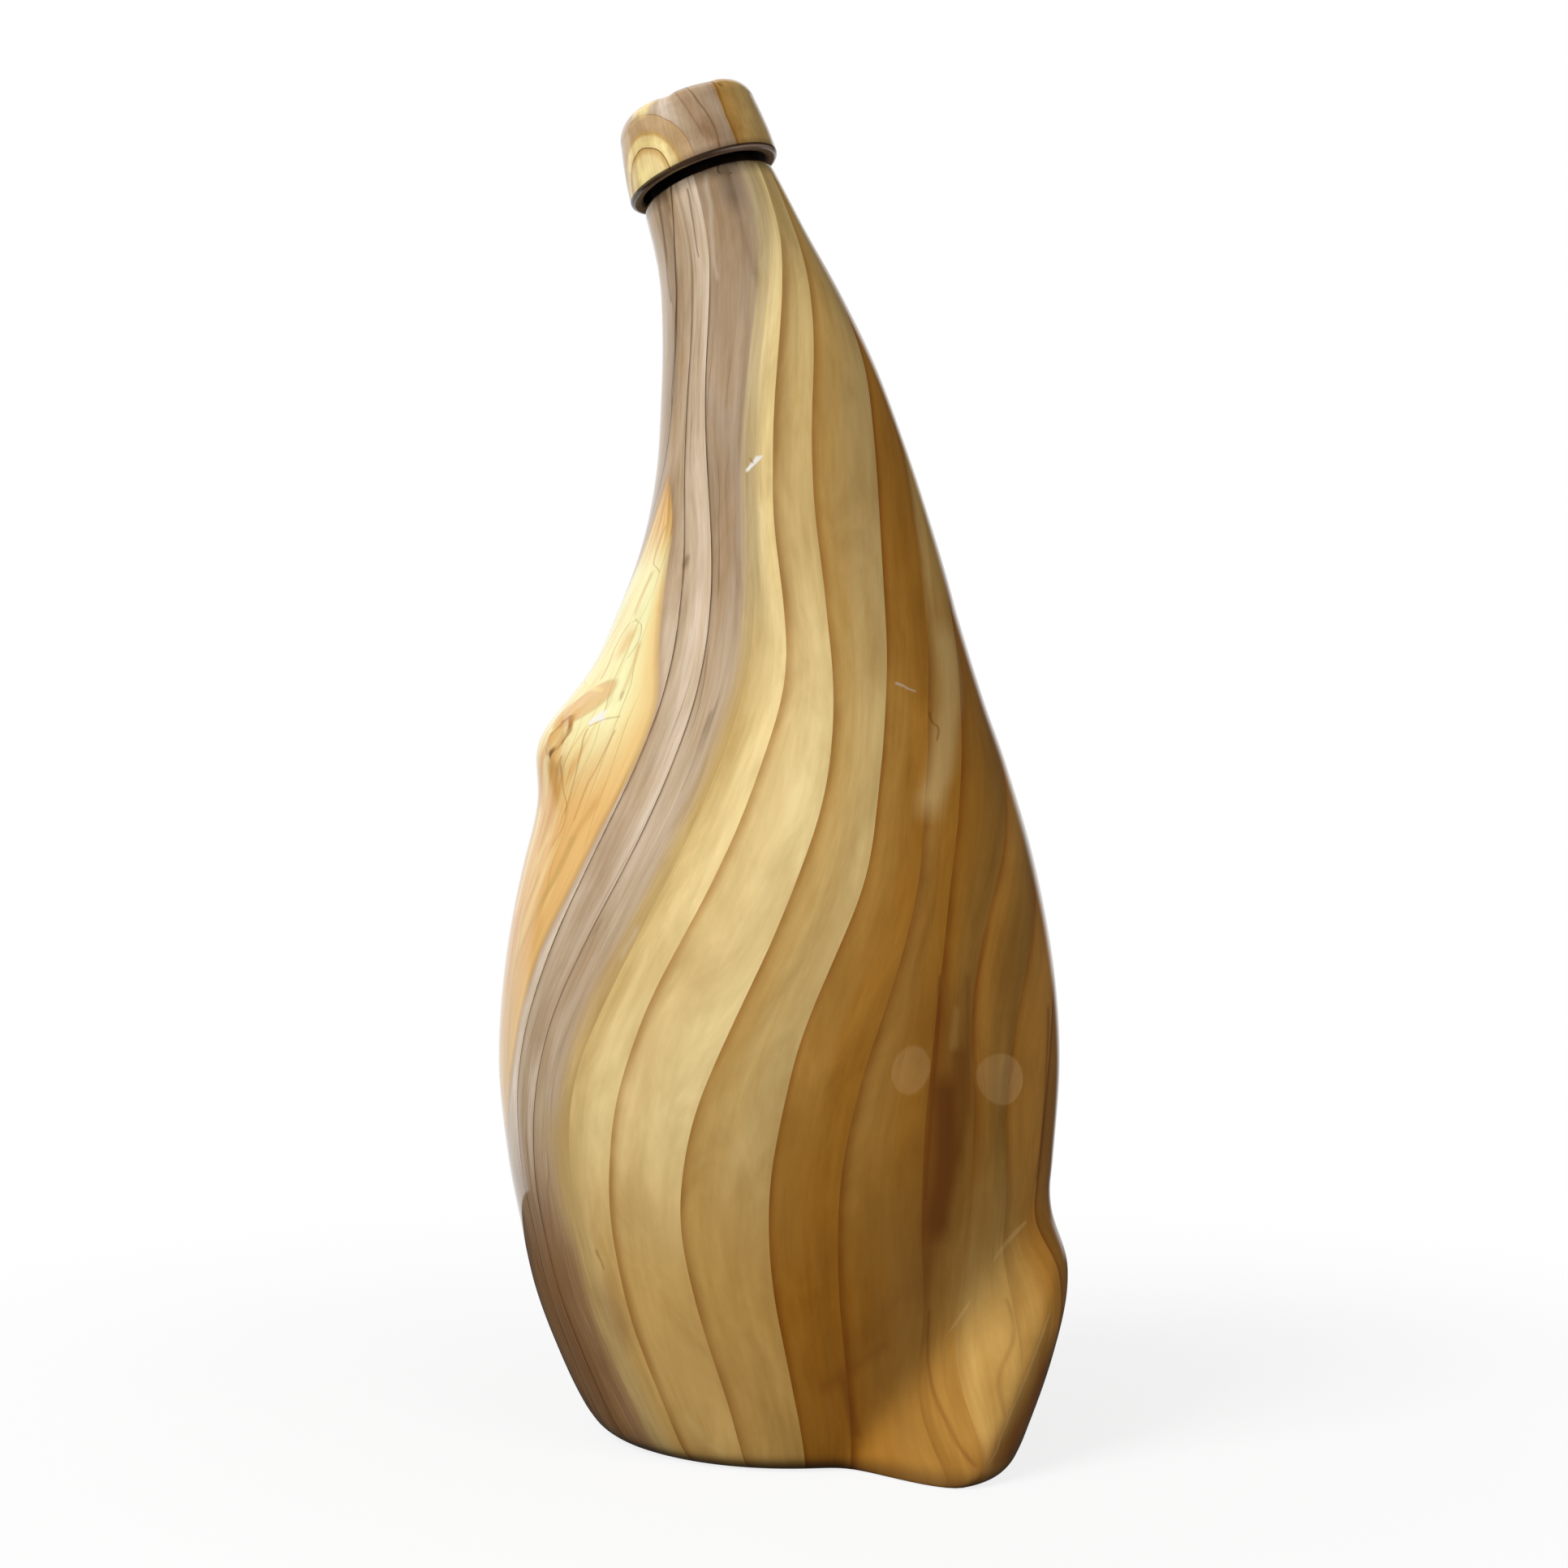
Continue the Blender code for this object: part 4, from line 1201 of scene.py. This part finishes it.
def trunkRings(azimuths):
    # every ring of the casting with the length along the spine that its paint is read at
    rings = []
    places = []
    finishes = [1]

    def add(points, along, finish):
        rings.append(points)
        places.append(along)
        finishes.append(finish)

    footRound, ringInset = trunk["footRound"], trunk["footRound"] + trunk["footRingWidth"]

    def footRing(height, inset):
        return skinRing(0, azimuths, inset) + up * height

    add(footRing(trunk["footRecess"], ringInset + 8 * trunk["footRecess"]), 0, 1)
    add(footRing(trunk["footRecess"], ringInset + trunk["footRecess"]), 0, 1)
    add(footRing(0, ringInset), 0, 1)
    add(footRing(0, footRound), 0, 0)
    for sine, cosine in quarterSteps(8)[1:]:
        along = footRound * (1 - cosine)
        add(skinRing(along, azimuths, footRound * (1 - sine)), along, 0)
    shoulder = spineLength + trunk["shoulderLift"]
    top = shoulder - trunk["shoulderRound"]
    crowds = ((knot["height"], *knot["ringCrowd"]), root["ringCrowd"])
    for along in crowdedSteps(footRound, top, trunk["skinStations"], crowds):
        add(skinRing(along, azimuths), along, 0)
    for sine, cosine in quarterSteps(7)[1:]:
        along = top + trunk["shoulderRound"] * sine
        add(skinRing(along, azimuths, trunk["shoulderRound"] * (1 - cosine)), along, 0)
    # painted shade: the flat shoulder and the lip's outer wall under the cap take the near-black gap paint
    add(skinRing(shoulder, azimuths, trunk["shoulderRound"]), shoulder, 3)

    lip, lipRound, bore = neckFinish["lipRadius"], neckFinish["lipRound"], neckFinish["boreRadius"]
    lipTop = spineLength + neckFinish["lipHeight"]
    add(roundRing(shoulder, lip, azimuths), shoulder, 3)
    for sine, cosine in quarterSteps(6):
        add(roundRing(lipTop - lipRound * (1 - sine), lip - lipRound * (1 - cosine), azimuths), lipTop, 1)
    add(roundRing(lipTop, lip - lipRound, azimuths), lipTop, 1)
    for sine, cosine in quarterSteps(6):
        add(roundRing(lipTop - lipRound * (1 - cosine), bore + lipRound * (1 - sine), azimuths), lipTop, 1)
    boreEnd = lipTop - neckFinish["boreLength"]
    narrow = bore - neckFinish["boreTaper"]
    add(roundRing(lipTop - lipRound, bore, azimuths), lipTop, 1)
    add(roundRing(boreEnd, narrow, azimuths), boreEnd, 2)

    wall = trunk["wall"]
    for share in np.linspace(0, 1, 7)[1:-1]:
        along = boreEnd - neckFinish["boreFlare"] * share
        inner = skinRing(along, azimuths, wall, detail=False)
        add(roundRing(along, narrow, azimuths) * (1 - eased(share)) + inner * eased(share), along, 2)
    cornerTop = trunk["floorThickness"] + trunk["cavityCorner"]
    for along in np.linspace(boreEnd - neckFinish["boreFlare"], cornerTop, 40):
        add(skinRing(along, azimuths, wall, root["cavityShare"], False), along, 2)
    for sine, cosine in quarterSteps(6)[1:]:
        along = cornerTop - trunk["cavityCorner"] * sine
        inset = wall + trunk["cavityCorner"] * (1 - cosine)
        add(skinRing(along, azimuths, inset, root["cavityShare"], False), along, 2)
    add(skinRing(trunk["floorThickness"], azimuths, wall + trunk["cavityCorner"], root["cavityShare"], False),
        trunk["floorThickness"], 2)
    return np.array(rings), places, finishes


def buildTrunk():
    seam = grain["seamAzimuth"]
    columns = crowdedSteps(seam, seam + 360, trunk["around"] + 1, trunk["columnCrowds"])
    rings, places, finishes = trunkRings(columns[:-1])
    flow = np.array([flowAt(along, columns) for along in places])
    height = np.array([along / millimetre + 0 * columns for along in places])
    lens = [lensPlace(along, columns) for along in places]
    stub = [knotPlace(along, columns) for along in places]
    gauge = spread(rings, flow)
    front = np.array([frontPlace(along, columns)[0] for along in places])
    maps = {
        "grain": np.stack((flow, height), 2),
        "gauge": np.stack((gauge, front), 2),
        "lens": np.array(lens).transpose(0, 2, 1),
        "knot": np.array(stub).transpose(0, 2, 1),
    }
    base = spineFrame(0)[0]
    mesh = ringMesh("glazedTrunk", rings, base + up * trunk["footRecess"],
                    base + up * trunk["floorThickness"], maps, finishes)
    materials = (buildTrunkGlaze(), buildClay(), buildInsideGlaze(), buildGapShadePaint())
    addPiece("glazedTrunk", mesh, materials, "bottle", "bottle_body")


buildTrunk()
print("trunk built")


# The cap

cap = {
    "standOff": 0.0030,
    "radius": 0.0181,
    "topRadius": 0.0166,
    "height": 0.0179,
    "crown": 0.0011,
    "topShift": 0.0012,
    "relief": 0.0010,
    "sideShares": ((0.0, 0.0), (0.35, 0.2), (0.7, 0.58), (1.0, 1.0)),
    "reliefShares": (
        (-1.0, 0.4), (-0.75, 0.8), (-0.45, 0.55), (-0.2, -0.15), (-0.09, 0.2), (0.42, 0.3), (0.52, 0.6),
        (0.8, 0.7), (1.0, 0.3),
    ),
    "wall": 0.0030,
    "rimRound": 0.0009,
    "topRound": 0.0038,
    "cavityDepth": 0.0125,
    "draft": 0.0014,
    "cavityCorner": 0.0022,
    "corkSocketDepth": 0.002,
    "corkHeadRadius": 0.0101,
    "seatGap": 0.0003,
    "around": 200,
    "sideStations": 40,
    "archAzimuth": 222.0,
    "archWidening": 1.15,
}
# each band's start, its first and last paint and the strength of the line at its start
capBands = (
    (90, "tan", "tan", 0.0), (114, "ochre", "honey", 0.5), (142, "stone", "taupeDeep", 0.6),
    (160, "taupe", "stone", 0.0), (270, "stone", "taupeDeep", 0.0), (296.5, "ochre", "sand", 0.8),
    (338, "ochre", "honey", 0.3), (362, "honey", "umber", 0.5), (388, "ochre", "tan", 0.5),
    (416, "straw", "tan", 0.4),
)
# cracks, stains and a painted highlight, as on the trunk: places are (azimuth, millimetres above the rim).
# The first lie under the arches and the others over them
capUnderMarks = (
    (((248, 18), (252, 13.5), (258, 9)), 5.0, 0.3, 3.0, 0.6, "clayPale"),
    (((263, 19), (265, 16.3), (269, 12.6), (272, 9), (275, 4.5)), 0.45, 0.3, 0.35, 0.55, "walnutDeep"),
    (((274, 19), (278, 14.3), (283.5, 8.8), (285, 5), (284.2, 0.9)), 0.4, -0.4, 0.25, 0.75, "walnutDeep"),
    (((272, 16), (276, 10), (281, 4)), 3.0, 0.0, 2.0, 0.35, "taupeBrown"),
    (((279, 8), (282, 2)), 3.0, 0.0, 1.8, 0.5, "walnut"),
    (((297, 16.5), (299.5, 12), (300, 6), (299.5, 1)), 1.6, 0.0, 1.2, 0.5, "bark"),
    (((304, 15), (306, 9), (305, 1)), 2.6, 0.3, 2.0, 0.25, "umber"),
    (((302, 16.4), (303.5, 15.6)), 0.8, 0.0, 0.6, 0.7, "ink"),
)
capOverMarks = (
    # painted highlight: pale butter on the top's left edge, where the light meets it
    (((222, 18), (233, 16.5), (240, 18.5)), 2.6, 0.0, 1.4, 0.7, "butter"),
    (((232, 18), (235, 15.8)), 1.0, 0.3, 0.6, 0.7, "butter"),
    (((150, 17), (152, 9), (148, 2)), 0.5, 0.2, 0.3, 0.55, "bark"),
    (((128, 16), (126, 8)), 0.5, 0.4, 0.3, 0.4, "bark"),
    (((372, 17), (374, 10), (371, 3)), 0.6, 0.2, 0.4, 0.4, "shade"),
)


def capProfile():
    # (radius, height, finish of the band above) from the cork's socket round the rim to the crown
    rimMouth = cap["radius"] - cap["wall"]
    ceiling = cap["cavityDepth"]
    inside = rimMouth - cap["draft"]
    socket = cap["corkHeadRadius"] + cap["seatGap"]
    corner, rim = cap["cavityCorner"], cap["rimRound"]
    profile = [(socket, ceiling + cap["corkSocketDepth"], 1), (socket, ceiling, 1)]
    for sine, cosine in quarterSteps(5):
        profile.append((inside - corner * (1 - sine), ceiling - corner * (1 - cosine), 1))
    profile.append((inside, ceiling - corner, 1))
    profile.append((rimMouth - cap["draft"] * rim / ceiling, rim, 2))
    for sine, cosine in quarterSteps(6)[1:]:
        profile.append((rimMouth + rim * (1 - cosine), rim * (1 - sine), 2))
    profile.append((rimMouth + rim, 0, 2))
    profile.append((cap["radius"] - rim, 0, 0))
    for sine, cosine in quarterSteps(6)[1:]:
        profile.append((cap["radius"] - rim * (1 - sine), rim * (1 - cosine), 0))
    sideTop = cap["height"] - cap["topRound"]
    for climbed in np.linspace(0, 1, cap["sideStations"])[:-1]:
        radius = cap["radius"] - (cap["radius"] - cap["topRadius"]) * smoothCurve(cap["sideShares"], climbed)
        profile.append((radius, rim + (sideTop - rim) * climbed, 0))
    for sine, cosine in quarterSteps(14):
        radius = cap["topRadius"] - cap["topRound"] * (1 - cosine)
        profile.append((radius, sideTop + cap["topRound"] * sine, 0))
    flat = cap["topRadius"] - cap["topRound"]
    for share in np.linspace(1, 0.04, 26):
        profile.append((flat * share, cap["height"] + cap["crown"] * (1 - share**2), 0))
    return profile


def capShape(radius, height, turn):
    # the outside's rings: the top stands a little to the right, and is uneven
    aside = radius * np.cos(turn)
    risen = eased((height - cap["height"] + cap["topRound"]) / cap["topRound"])
    level = height + cap["relief"] * smoothCurve(cap["reliefShares"], aside / cap["topRadius"]) * risen
    return aside + cap["topShift"] * height / cap["height"], radius * np.sin(turn), level


capPaint = {
    "bandSway": 9.0,
    "lineWidth": 1.2,
    "archUnevenness": 0.9,
    "archEdge": (16.1, 15.9),
    # the arches' paints, as (share of 20 millimetres from their middle, paint)
    "archStops": (
        (0.0, "butter"), (0.18, "butter"), (0.33, "cream"), (0.41, "tan"), (0.417, "walnut"),
        (0.424, "walnut"), (0.43, "cream"), (0.48, "butter"), (0.54, "cream"), (0.575, "tan"),
        (0.62, "stoneWarm"), (0.785, "stoneWarm"), (0.797, "taupeBrown"),
    ),
    "streaks": 0.3,
    "wash": 0.15,
    "patches": 0.9,
    "patchScale": (0.16, 0.1, 0.0),
    "pith": (-2.0, -1.5, 0.0),
    "ringsPerMillimetre": 0.55,
    "ringWobble": 2.4,
    "ringShade": (0.55, 1.0, 0.0, 0.5),
    "greyFrom": (2.0, 11.0),
    "worn": (0.4, 0.7, 0.0, 0.4),
    "topEdge": (12.4, 10.8),
    "edgeShade": (2.8, 0.7, 0.0, 0.5),
    "shadeFrom": (238.0, 262.0, 0.2, 1.0),
    "darkLine": (1.05, 0.8, 0.0, 0.85),
    "rimTop": (0.5, 0.35),
    "paleRimFrom": (272.0, 300.0, 0.1, 1.0),
}


def capArc(azimuth):
    return math.radians(azimuth) * cap["radius"] / millimetre


def capBandColour(tree, azimuth, seam):
    # bands round the cap, each with a dark line at its start
    stops = []
    for i, (start, first, last, strength) in enumerate(capBands):
        end = capBands[i + 1][0] if i + 1 < len(capBands) else seam + 360
        stops.append(((start - seam) / 360 + 0.0005, first))
        stops.append(((end - seam) / 360 - 0.0005, last))
    colour = rampOf(tree, calc(tree, "DIVIDE", calc(tree, "SUBTRACT", azimuth, seam), 360.0), stops)
    for start, first, last, strength in capBands:
        past = product(tree, calc(tree, "SUBTRACT", azimuth, float(start)), capArc(1))
        faded = ease(tree, past, 0.1, capPaint["lineWidth"], 1.0, 0.0)
        core = product(tree, ease(tree, past, -0.15, 0.1), faded)
        colour = blend(tree, product(tree, core, strength), colour, paints["walnutDeep"])
    return colour


def archRing(tree, azimuth, height):
    # millimetres from the arches' middle, which lies on the rim
    arc = product(tree, calc(tree, "SUBTRACT", azimuth, cap["archAzimuth"]), capArc(1) * cap["archWidening"])
    uneven = mottle(tree, joinVector(tree, arc, height, 5.0), 0.22, 2.0, 0.4)
    squared = calc(tree, "ADD", calc(tree, "POWER", height, 2.0), product(tree, arc, arc))
    ring = calc(tree, "SQRT", squared)
    return calc(tree, "MULTIPLY_ADD", centred(tree, uneven), capPaint["archUnevenness"], ring)


def endGrain(tree, cut):
    # growth rings on the cap's top
    fromPith = calcVector(tree, "SUBTRACT", cut, capPaint["pith"])
    wobble = mottle(tree, cut, 0.25, 3.0, 0.5)
    rings = calc(tree, "ADD", calcVector(tree, "LENGTH", fromPith),
                 product(tree, wobble, capPaint["ringWobble"]))
    beat = calc(tree, "FRACT", product(tree, rings, capPaint["ringsPerMillimetre"]))
    colour = blend(tree, ease(tree, rings, *capPaint["greyFrom"]), paints["tan"], paints["stone"])
    colour = blend(tree, ease(tree, beat, *capPaint["ringShade"]), colour, paints["bark"])
    worn = ease(tree, mottle(tree, cut, 1.1, 4.0, 0.6), *capPaint["worn"])
    return blend(tree, worn, colour, paints["straw"])


def buildCapGlaze():
    material, tree, shader = newMaterial("capGlaze")
    azimuth, height = colourMap(tree, "cap")
    aside, deep = colourMap(tree, "capTop")
    seam = grain["seamAzimuth"]
    turn = calc(tree, "DIVIDE", calc(tree, "SUBTRACT", azimuth, seam), 360.0)
    sway = mottleRound(tree, turn, height, 9.0, 0.09, 0.0, 2.0, 0.4)
    swayed = calc(tree, "MULTIPLY_ADD", centred(tree, sway), capPaint["bandSway"], azimuth)
    colour = capBandColour(tree, swayed, seam)
    around = product(tree, azimuth, capArc(1))

    def markPlace(turned, level):
        return capArc(turned), level

    colour = layStrokes(tree, colour, around, height, placedStrokes(capUnderMarks, markPlace))
    ring = archRing(tree, azimuth, height)
    arches = rampOf(tree, calc(tree, "DIVIDE", ring, 20.0), capPaint["archStops"])
    colour = blend(tree, ease(tree, ring, *capPaint["archEdge"]), colour, arches)
    colour = layStrokes(tree, colour, around, height, placedStrokes(capOverMarks, markPlace))
    place = joinVector(tree, around, height)
    brushed = useGroup(tree, brushGroup, Colour=colour, Turn=turn, Along=product(tree, height, 2.0),
                       Streaks=capPaint["streaks"], Wash=capPaint["wash"], Darker=paints["taupeBrown"],
                       Patches=capPaint["patches"],
                       Patch=calcVector(tree, "MULTIPLY", place, capPaint["patchScale"]))

    cut = joinVector(tree, aside, deep)
    onTop = ease(tree, calcVector(tree, "LENGTH", cut), *capPaint["topEdge"])
    colour = blend(tree, onTop, brushed["Colour"], endGrain(tree, cut))
    shaded = ease(tree, height, *capPaint["edgeShade"])
    shaded = product(tree, shaded, ease(tree, azimuth, *capPaint["shadeFrom"]))
    colour = blend(tree, shaded, colour, paints["rimBrown"])
    colour = blend(tree, ease(tree, height, *capPaint["darkLine"]), colour, paints["gapBrown"])
    rim = blend(tree, ease(tree, azimuth, *capPaint["paleRimFrom"]), paints["rimBrown"], paints["rimPale"])
    colour = blend(tree, ease(tree, height, *capPaint["rimTop"]), colour, rim)
    coverWithGlaze(tree, shader, colour, brushed["Streak"])
    return material


def buildCap():
    place, across, deep, axis = spineFrame(spineLength + cap["standOff"])
    seam = grain["seamAzimuth"]
    columns = np.linspace(seam, seam + 360, cap["around"] + 1)
    turn = np.radians(columns)
    solid = cap["cavityDepth"] + cap["corkSocketDepth"]
    rings = []
    bands = []
    tops = []
    finishes = [1]
    outside = False
    for radius, height, finish in capProfile():
        outside = outside or finish == 0
        aside, back, level = radius * np.cos(turn), radius * np.sin(turn), height + 0 * turn
        if outside:
            aside, back, level = capShape(radius, height, turn)
        ring = aside[:, None] * across + back[:, None] * deep + level[:, None] * axis
        rings.append((place + ring)[:-1])
        bands.append(np.stack((columns, level / millimetre), 1))
        tops.append(np.stack((aside, back), 1) / millimetre)
        finishes.append(finish)
    aside, back, level = capShape(0.0, cap["height"] + cap["crown"], 0.0)
    crown = place + aside * across + level * axis
    maps = {"cap": np.array(bands), "capTop": np.array(tops)}
    mesh = ringMesh("glazedCap", np.array(rings), place + axis * solid, crown, maps, finishes)
    # the cap's inside takes the painted shade of the gap, and its rim the bare clay
    materials = (buildCapGlaze(), bpy.data.materials["gapShadePaint"], bpy.data.materials["bareClay"])
    addPiece("glazedCap", mesh, materials, "stopper", "stopper_cap")


buildCap()
print("cap built")


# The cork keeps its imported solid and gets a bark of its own

corkFinish = {"roughness": 0.88, "poreDepth": 0.0004}


def buildCork():
    material, tree, shader = newMaterial("naturalCork")
    place = surfacePlace(tree)
    cells = mottle(tree, place, 420.0, 4.0, 0.6)
    pores = mottle(tree, place, 260.0, 2.0, 0.4, 0.6)
    colour = blend(tree, cells, paints["ochre"], paints["tan"])
    pit = ease(tree, pores, 0.58, 0.68)
    colour = blend(tree, product(tree, pit, 0.75), colour, paints["bark"])
    feedByName(tree, shader, {"Base Color": colour, "Roughness": corkFinish["roughness"]})
    addBump(tree, shader, calc(tree, "SUBTRACT", cells, pit), corkFinish["poreDepth"])
    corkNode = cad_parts["cork"]
    corkNode.data.materials.clear()
    corkNode.data.materials.append(material)


buildCork()
print("cork finished")


# Floor, backdrop and light

studio = {
    "floorRadius": 3.0,
    "floorDrop": 0.0002,
    "floorSeen": (0.95, 0.95, 0.95),
    "floorLight": (0.08, 0.08, 0.08),
    "floorFade": (0.06, 0.36, 0.82, 1.0),
    "worldLight": 0.20,
    "gloss": 0.04,
    "backdropGloss": 1.0,
    "backdropLeft": (-66, -57),
    "backdropRight": (34, 18),
    "backdropOnFloor": (0.232, 0.240),
    "camera": (0.0008, -0.5968, 0.147),
    "lens": 59.46,
    "glintColour": (1.0, 0.84, 0.5),
}
# name, watts, shape, width and height, place, whether it lights the paint, whether the glaze mirrors it
lamps = (
    ("keySoftbox", 34.0, "RECTANGLE", (1.0, 1.3), (-1.25, -0.95, 1.25), True, False),
    ("rightFill", 9.0, "RECTANGLE", (1.2, 1.4), (1.15, -1.15, 0.8), True, False),
    ("roundGlint", 0.020, "ELLIPSE", (0.136, 0.056), (0.391, -0.386, 0.038), False, True),
    ("wideGlint", 0.015, "ELLIPSE", (0.18, 0.0446), (0.346, -0.026, 0.048), False, True),
)


def backdropGloss(tree, direction):
    # what the glaze mirrors: a white backdrop behind the bottle, and a dim room all round
    parts = tree.nodes.new("ShaderNodeSeparateXYZ")
    tree.links.new(direction, parts.inputs[0])
    aside = calc(tree, "DEGREES", calc(tree, "ARCTAN2", parts.outputs[0], parts.outputs[1]))
    onLeft = ease(tree, aside, *studio["backdropLeft"])
    onRight = ease(tree, aside, *studio["backdropRight"])
    return product(tree, onLeft, onRight)


def glossStrength(tree, behind):
    return calc(tree, "MULTIPLY_ADD", behind, studio["backdropGloss"] - studio["gloss"], studio["gloss"])


def seenDirectly(tree, path):
    return calc(tree, "MAXIMUM", path.outputs["Is Camera Ray"], path.outputs["Is Transmission Ray"])


def buildFloor():
    mesh = bpy.data.meshes.new("studioFloor")
    radius, drop = studio["floorRadius"], studio["floorDrop"]
    turns = np.linspace(0, 2 * math.pi, 97)[:-1]
    rim = [(radius * math.cos(turn), radius * math.sin(turn), -drop) for turn in turns]
    mesh.from_pydata(rim, [], [list(range(len(rim)))])
    floor = bpy.data.objects.new("studioFloor", mesh)
    bpy.context.scene.collection.objects.link(floor)
    material = bpy.data.materials.new("paleFloor")
    material.use_nodes = True
    tree = material.node_tree
    tree.nodes.clear()
    output = tree.nodes.new("ShaderNodeOutputMaterial")
    diffuse = tree.nodes.new("ShaderNodeBsdfDiffuse")
    glow = tree.nodes.new("ShaderNodeEmission")
    mix = tree.nodes.new("ShaderNodeMixShader")
    path = tree.nodes.new("ShaderNodeLightPath")
    seen = seenDirectly(tree, path)
    place = surfacePlace(tree)
    distance = calcVector(tree, "LENGTH", place)
    far = ease(tree, distance, *studio["floorFade"])
    feed(tree, diffuse.inputs["Color"], blend(tree, seen, studio["floorLight"], studio["floorSeen"]))
    mirrored = path.outputs["Is Glossy Ray"]
    beyond = ease(tree, distance, *studio["backdropOnFloor"])
    behind = glossStrength(tree, product(tree, backdropGloss(tree, place), beyond))
    feed(tree, glow.inputs["Strength"], calc(tree, "MAXIMUM", seen, behind))
    feed(tree, mix.inputs[0], calc(tree, "MAXIMUM", product(tree, seen, far), mirrored))
    tree.links.new(diffuse.outputs[0], mix.inputs[1])
    tree.links.new(glow.outputs[0], mix.inputs[2])
    tree.links.new(mix.outputs[0], output.inputs["Surface"])
    mesh.materials.append(material)


def buildWorld():
    world = bpy.data.worlds.new("paleStudio")
    bpy.context.scene.world = world
    world.use_nodes = True
    tree = world.node_tree
    background = tree.nodes["Background"]
    path = tree.nodes.new("ShaderNodeLightPath")
    seen = seenDirectly(tree, path)
    direction = tree.nodes.new("ShaderNodeTexCoord").outputs["Generated"]
    behind = glossStrength(tree, backdropGloss(tree, direction))
    mirrored = product(tree, path.outputs["Is Glossy Ray"],
                       calc(tree, "SUBTRACT", behind, studio["worldLight"]))
    lit = calc(tree, "ADD", mirrored, studio["worldLight"])
    background.inputs["Color"].default_value = (1, 1, 1, 1)
    tree.links.new(calc(tree, "MAXIMUM", seen, lit), background.inputs["Strength"])


def addLamp(name, watts, shape, size, place, lightsPaint, isMirrored):
    data = bpy.data.lights.new(name, "AREA")
    data.energy = watts
    if isMirrored:
        data.color = studio["glintColour"]
    data.shape = shape
    data.size, data.size_y = size
    lamp = bpy.data.objects.new(name, data)
    bpy.context.scene.collection.objects.link(lamp)
    lamp.location = place
    aim = Vector((0, 0, trunk["bodyHeight"] / 2)) - Vector(place)
    lamp.rotation_euler = aim.to_track_quat("-Z", "Y").to_euler()
    lamp.visible_diffuse = lightsPaint
    lamp.visible_glossy = isMirrored
    lamp.visible_camera = False


def buildCamera():
    data = bpy.data.cameras.new("view")
    data.lens = studio["lens"]
    data.sensor_width = 36
    camera = bpy.data.objects.new("view", data)
    bpy.context.scene.collection.objects.link(camera)
    camera.location = studio["camera"]
    camera.rotation_euler = (math.pi / 2, 0, 0)
    bpy.context.scene.camera = camera


buildFloor()
buildWorld()
for lampValues in lamps:
    addLamp(*lampValues)
buildCamera()
bpy.context.scene.view_settings.view_transform = "Standard"
print("studio built")
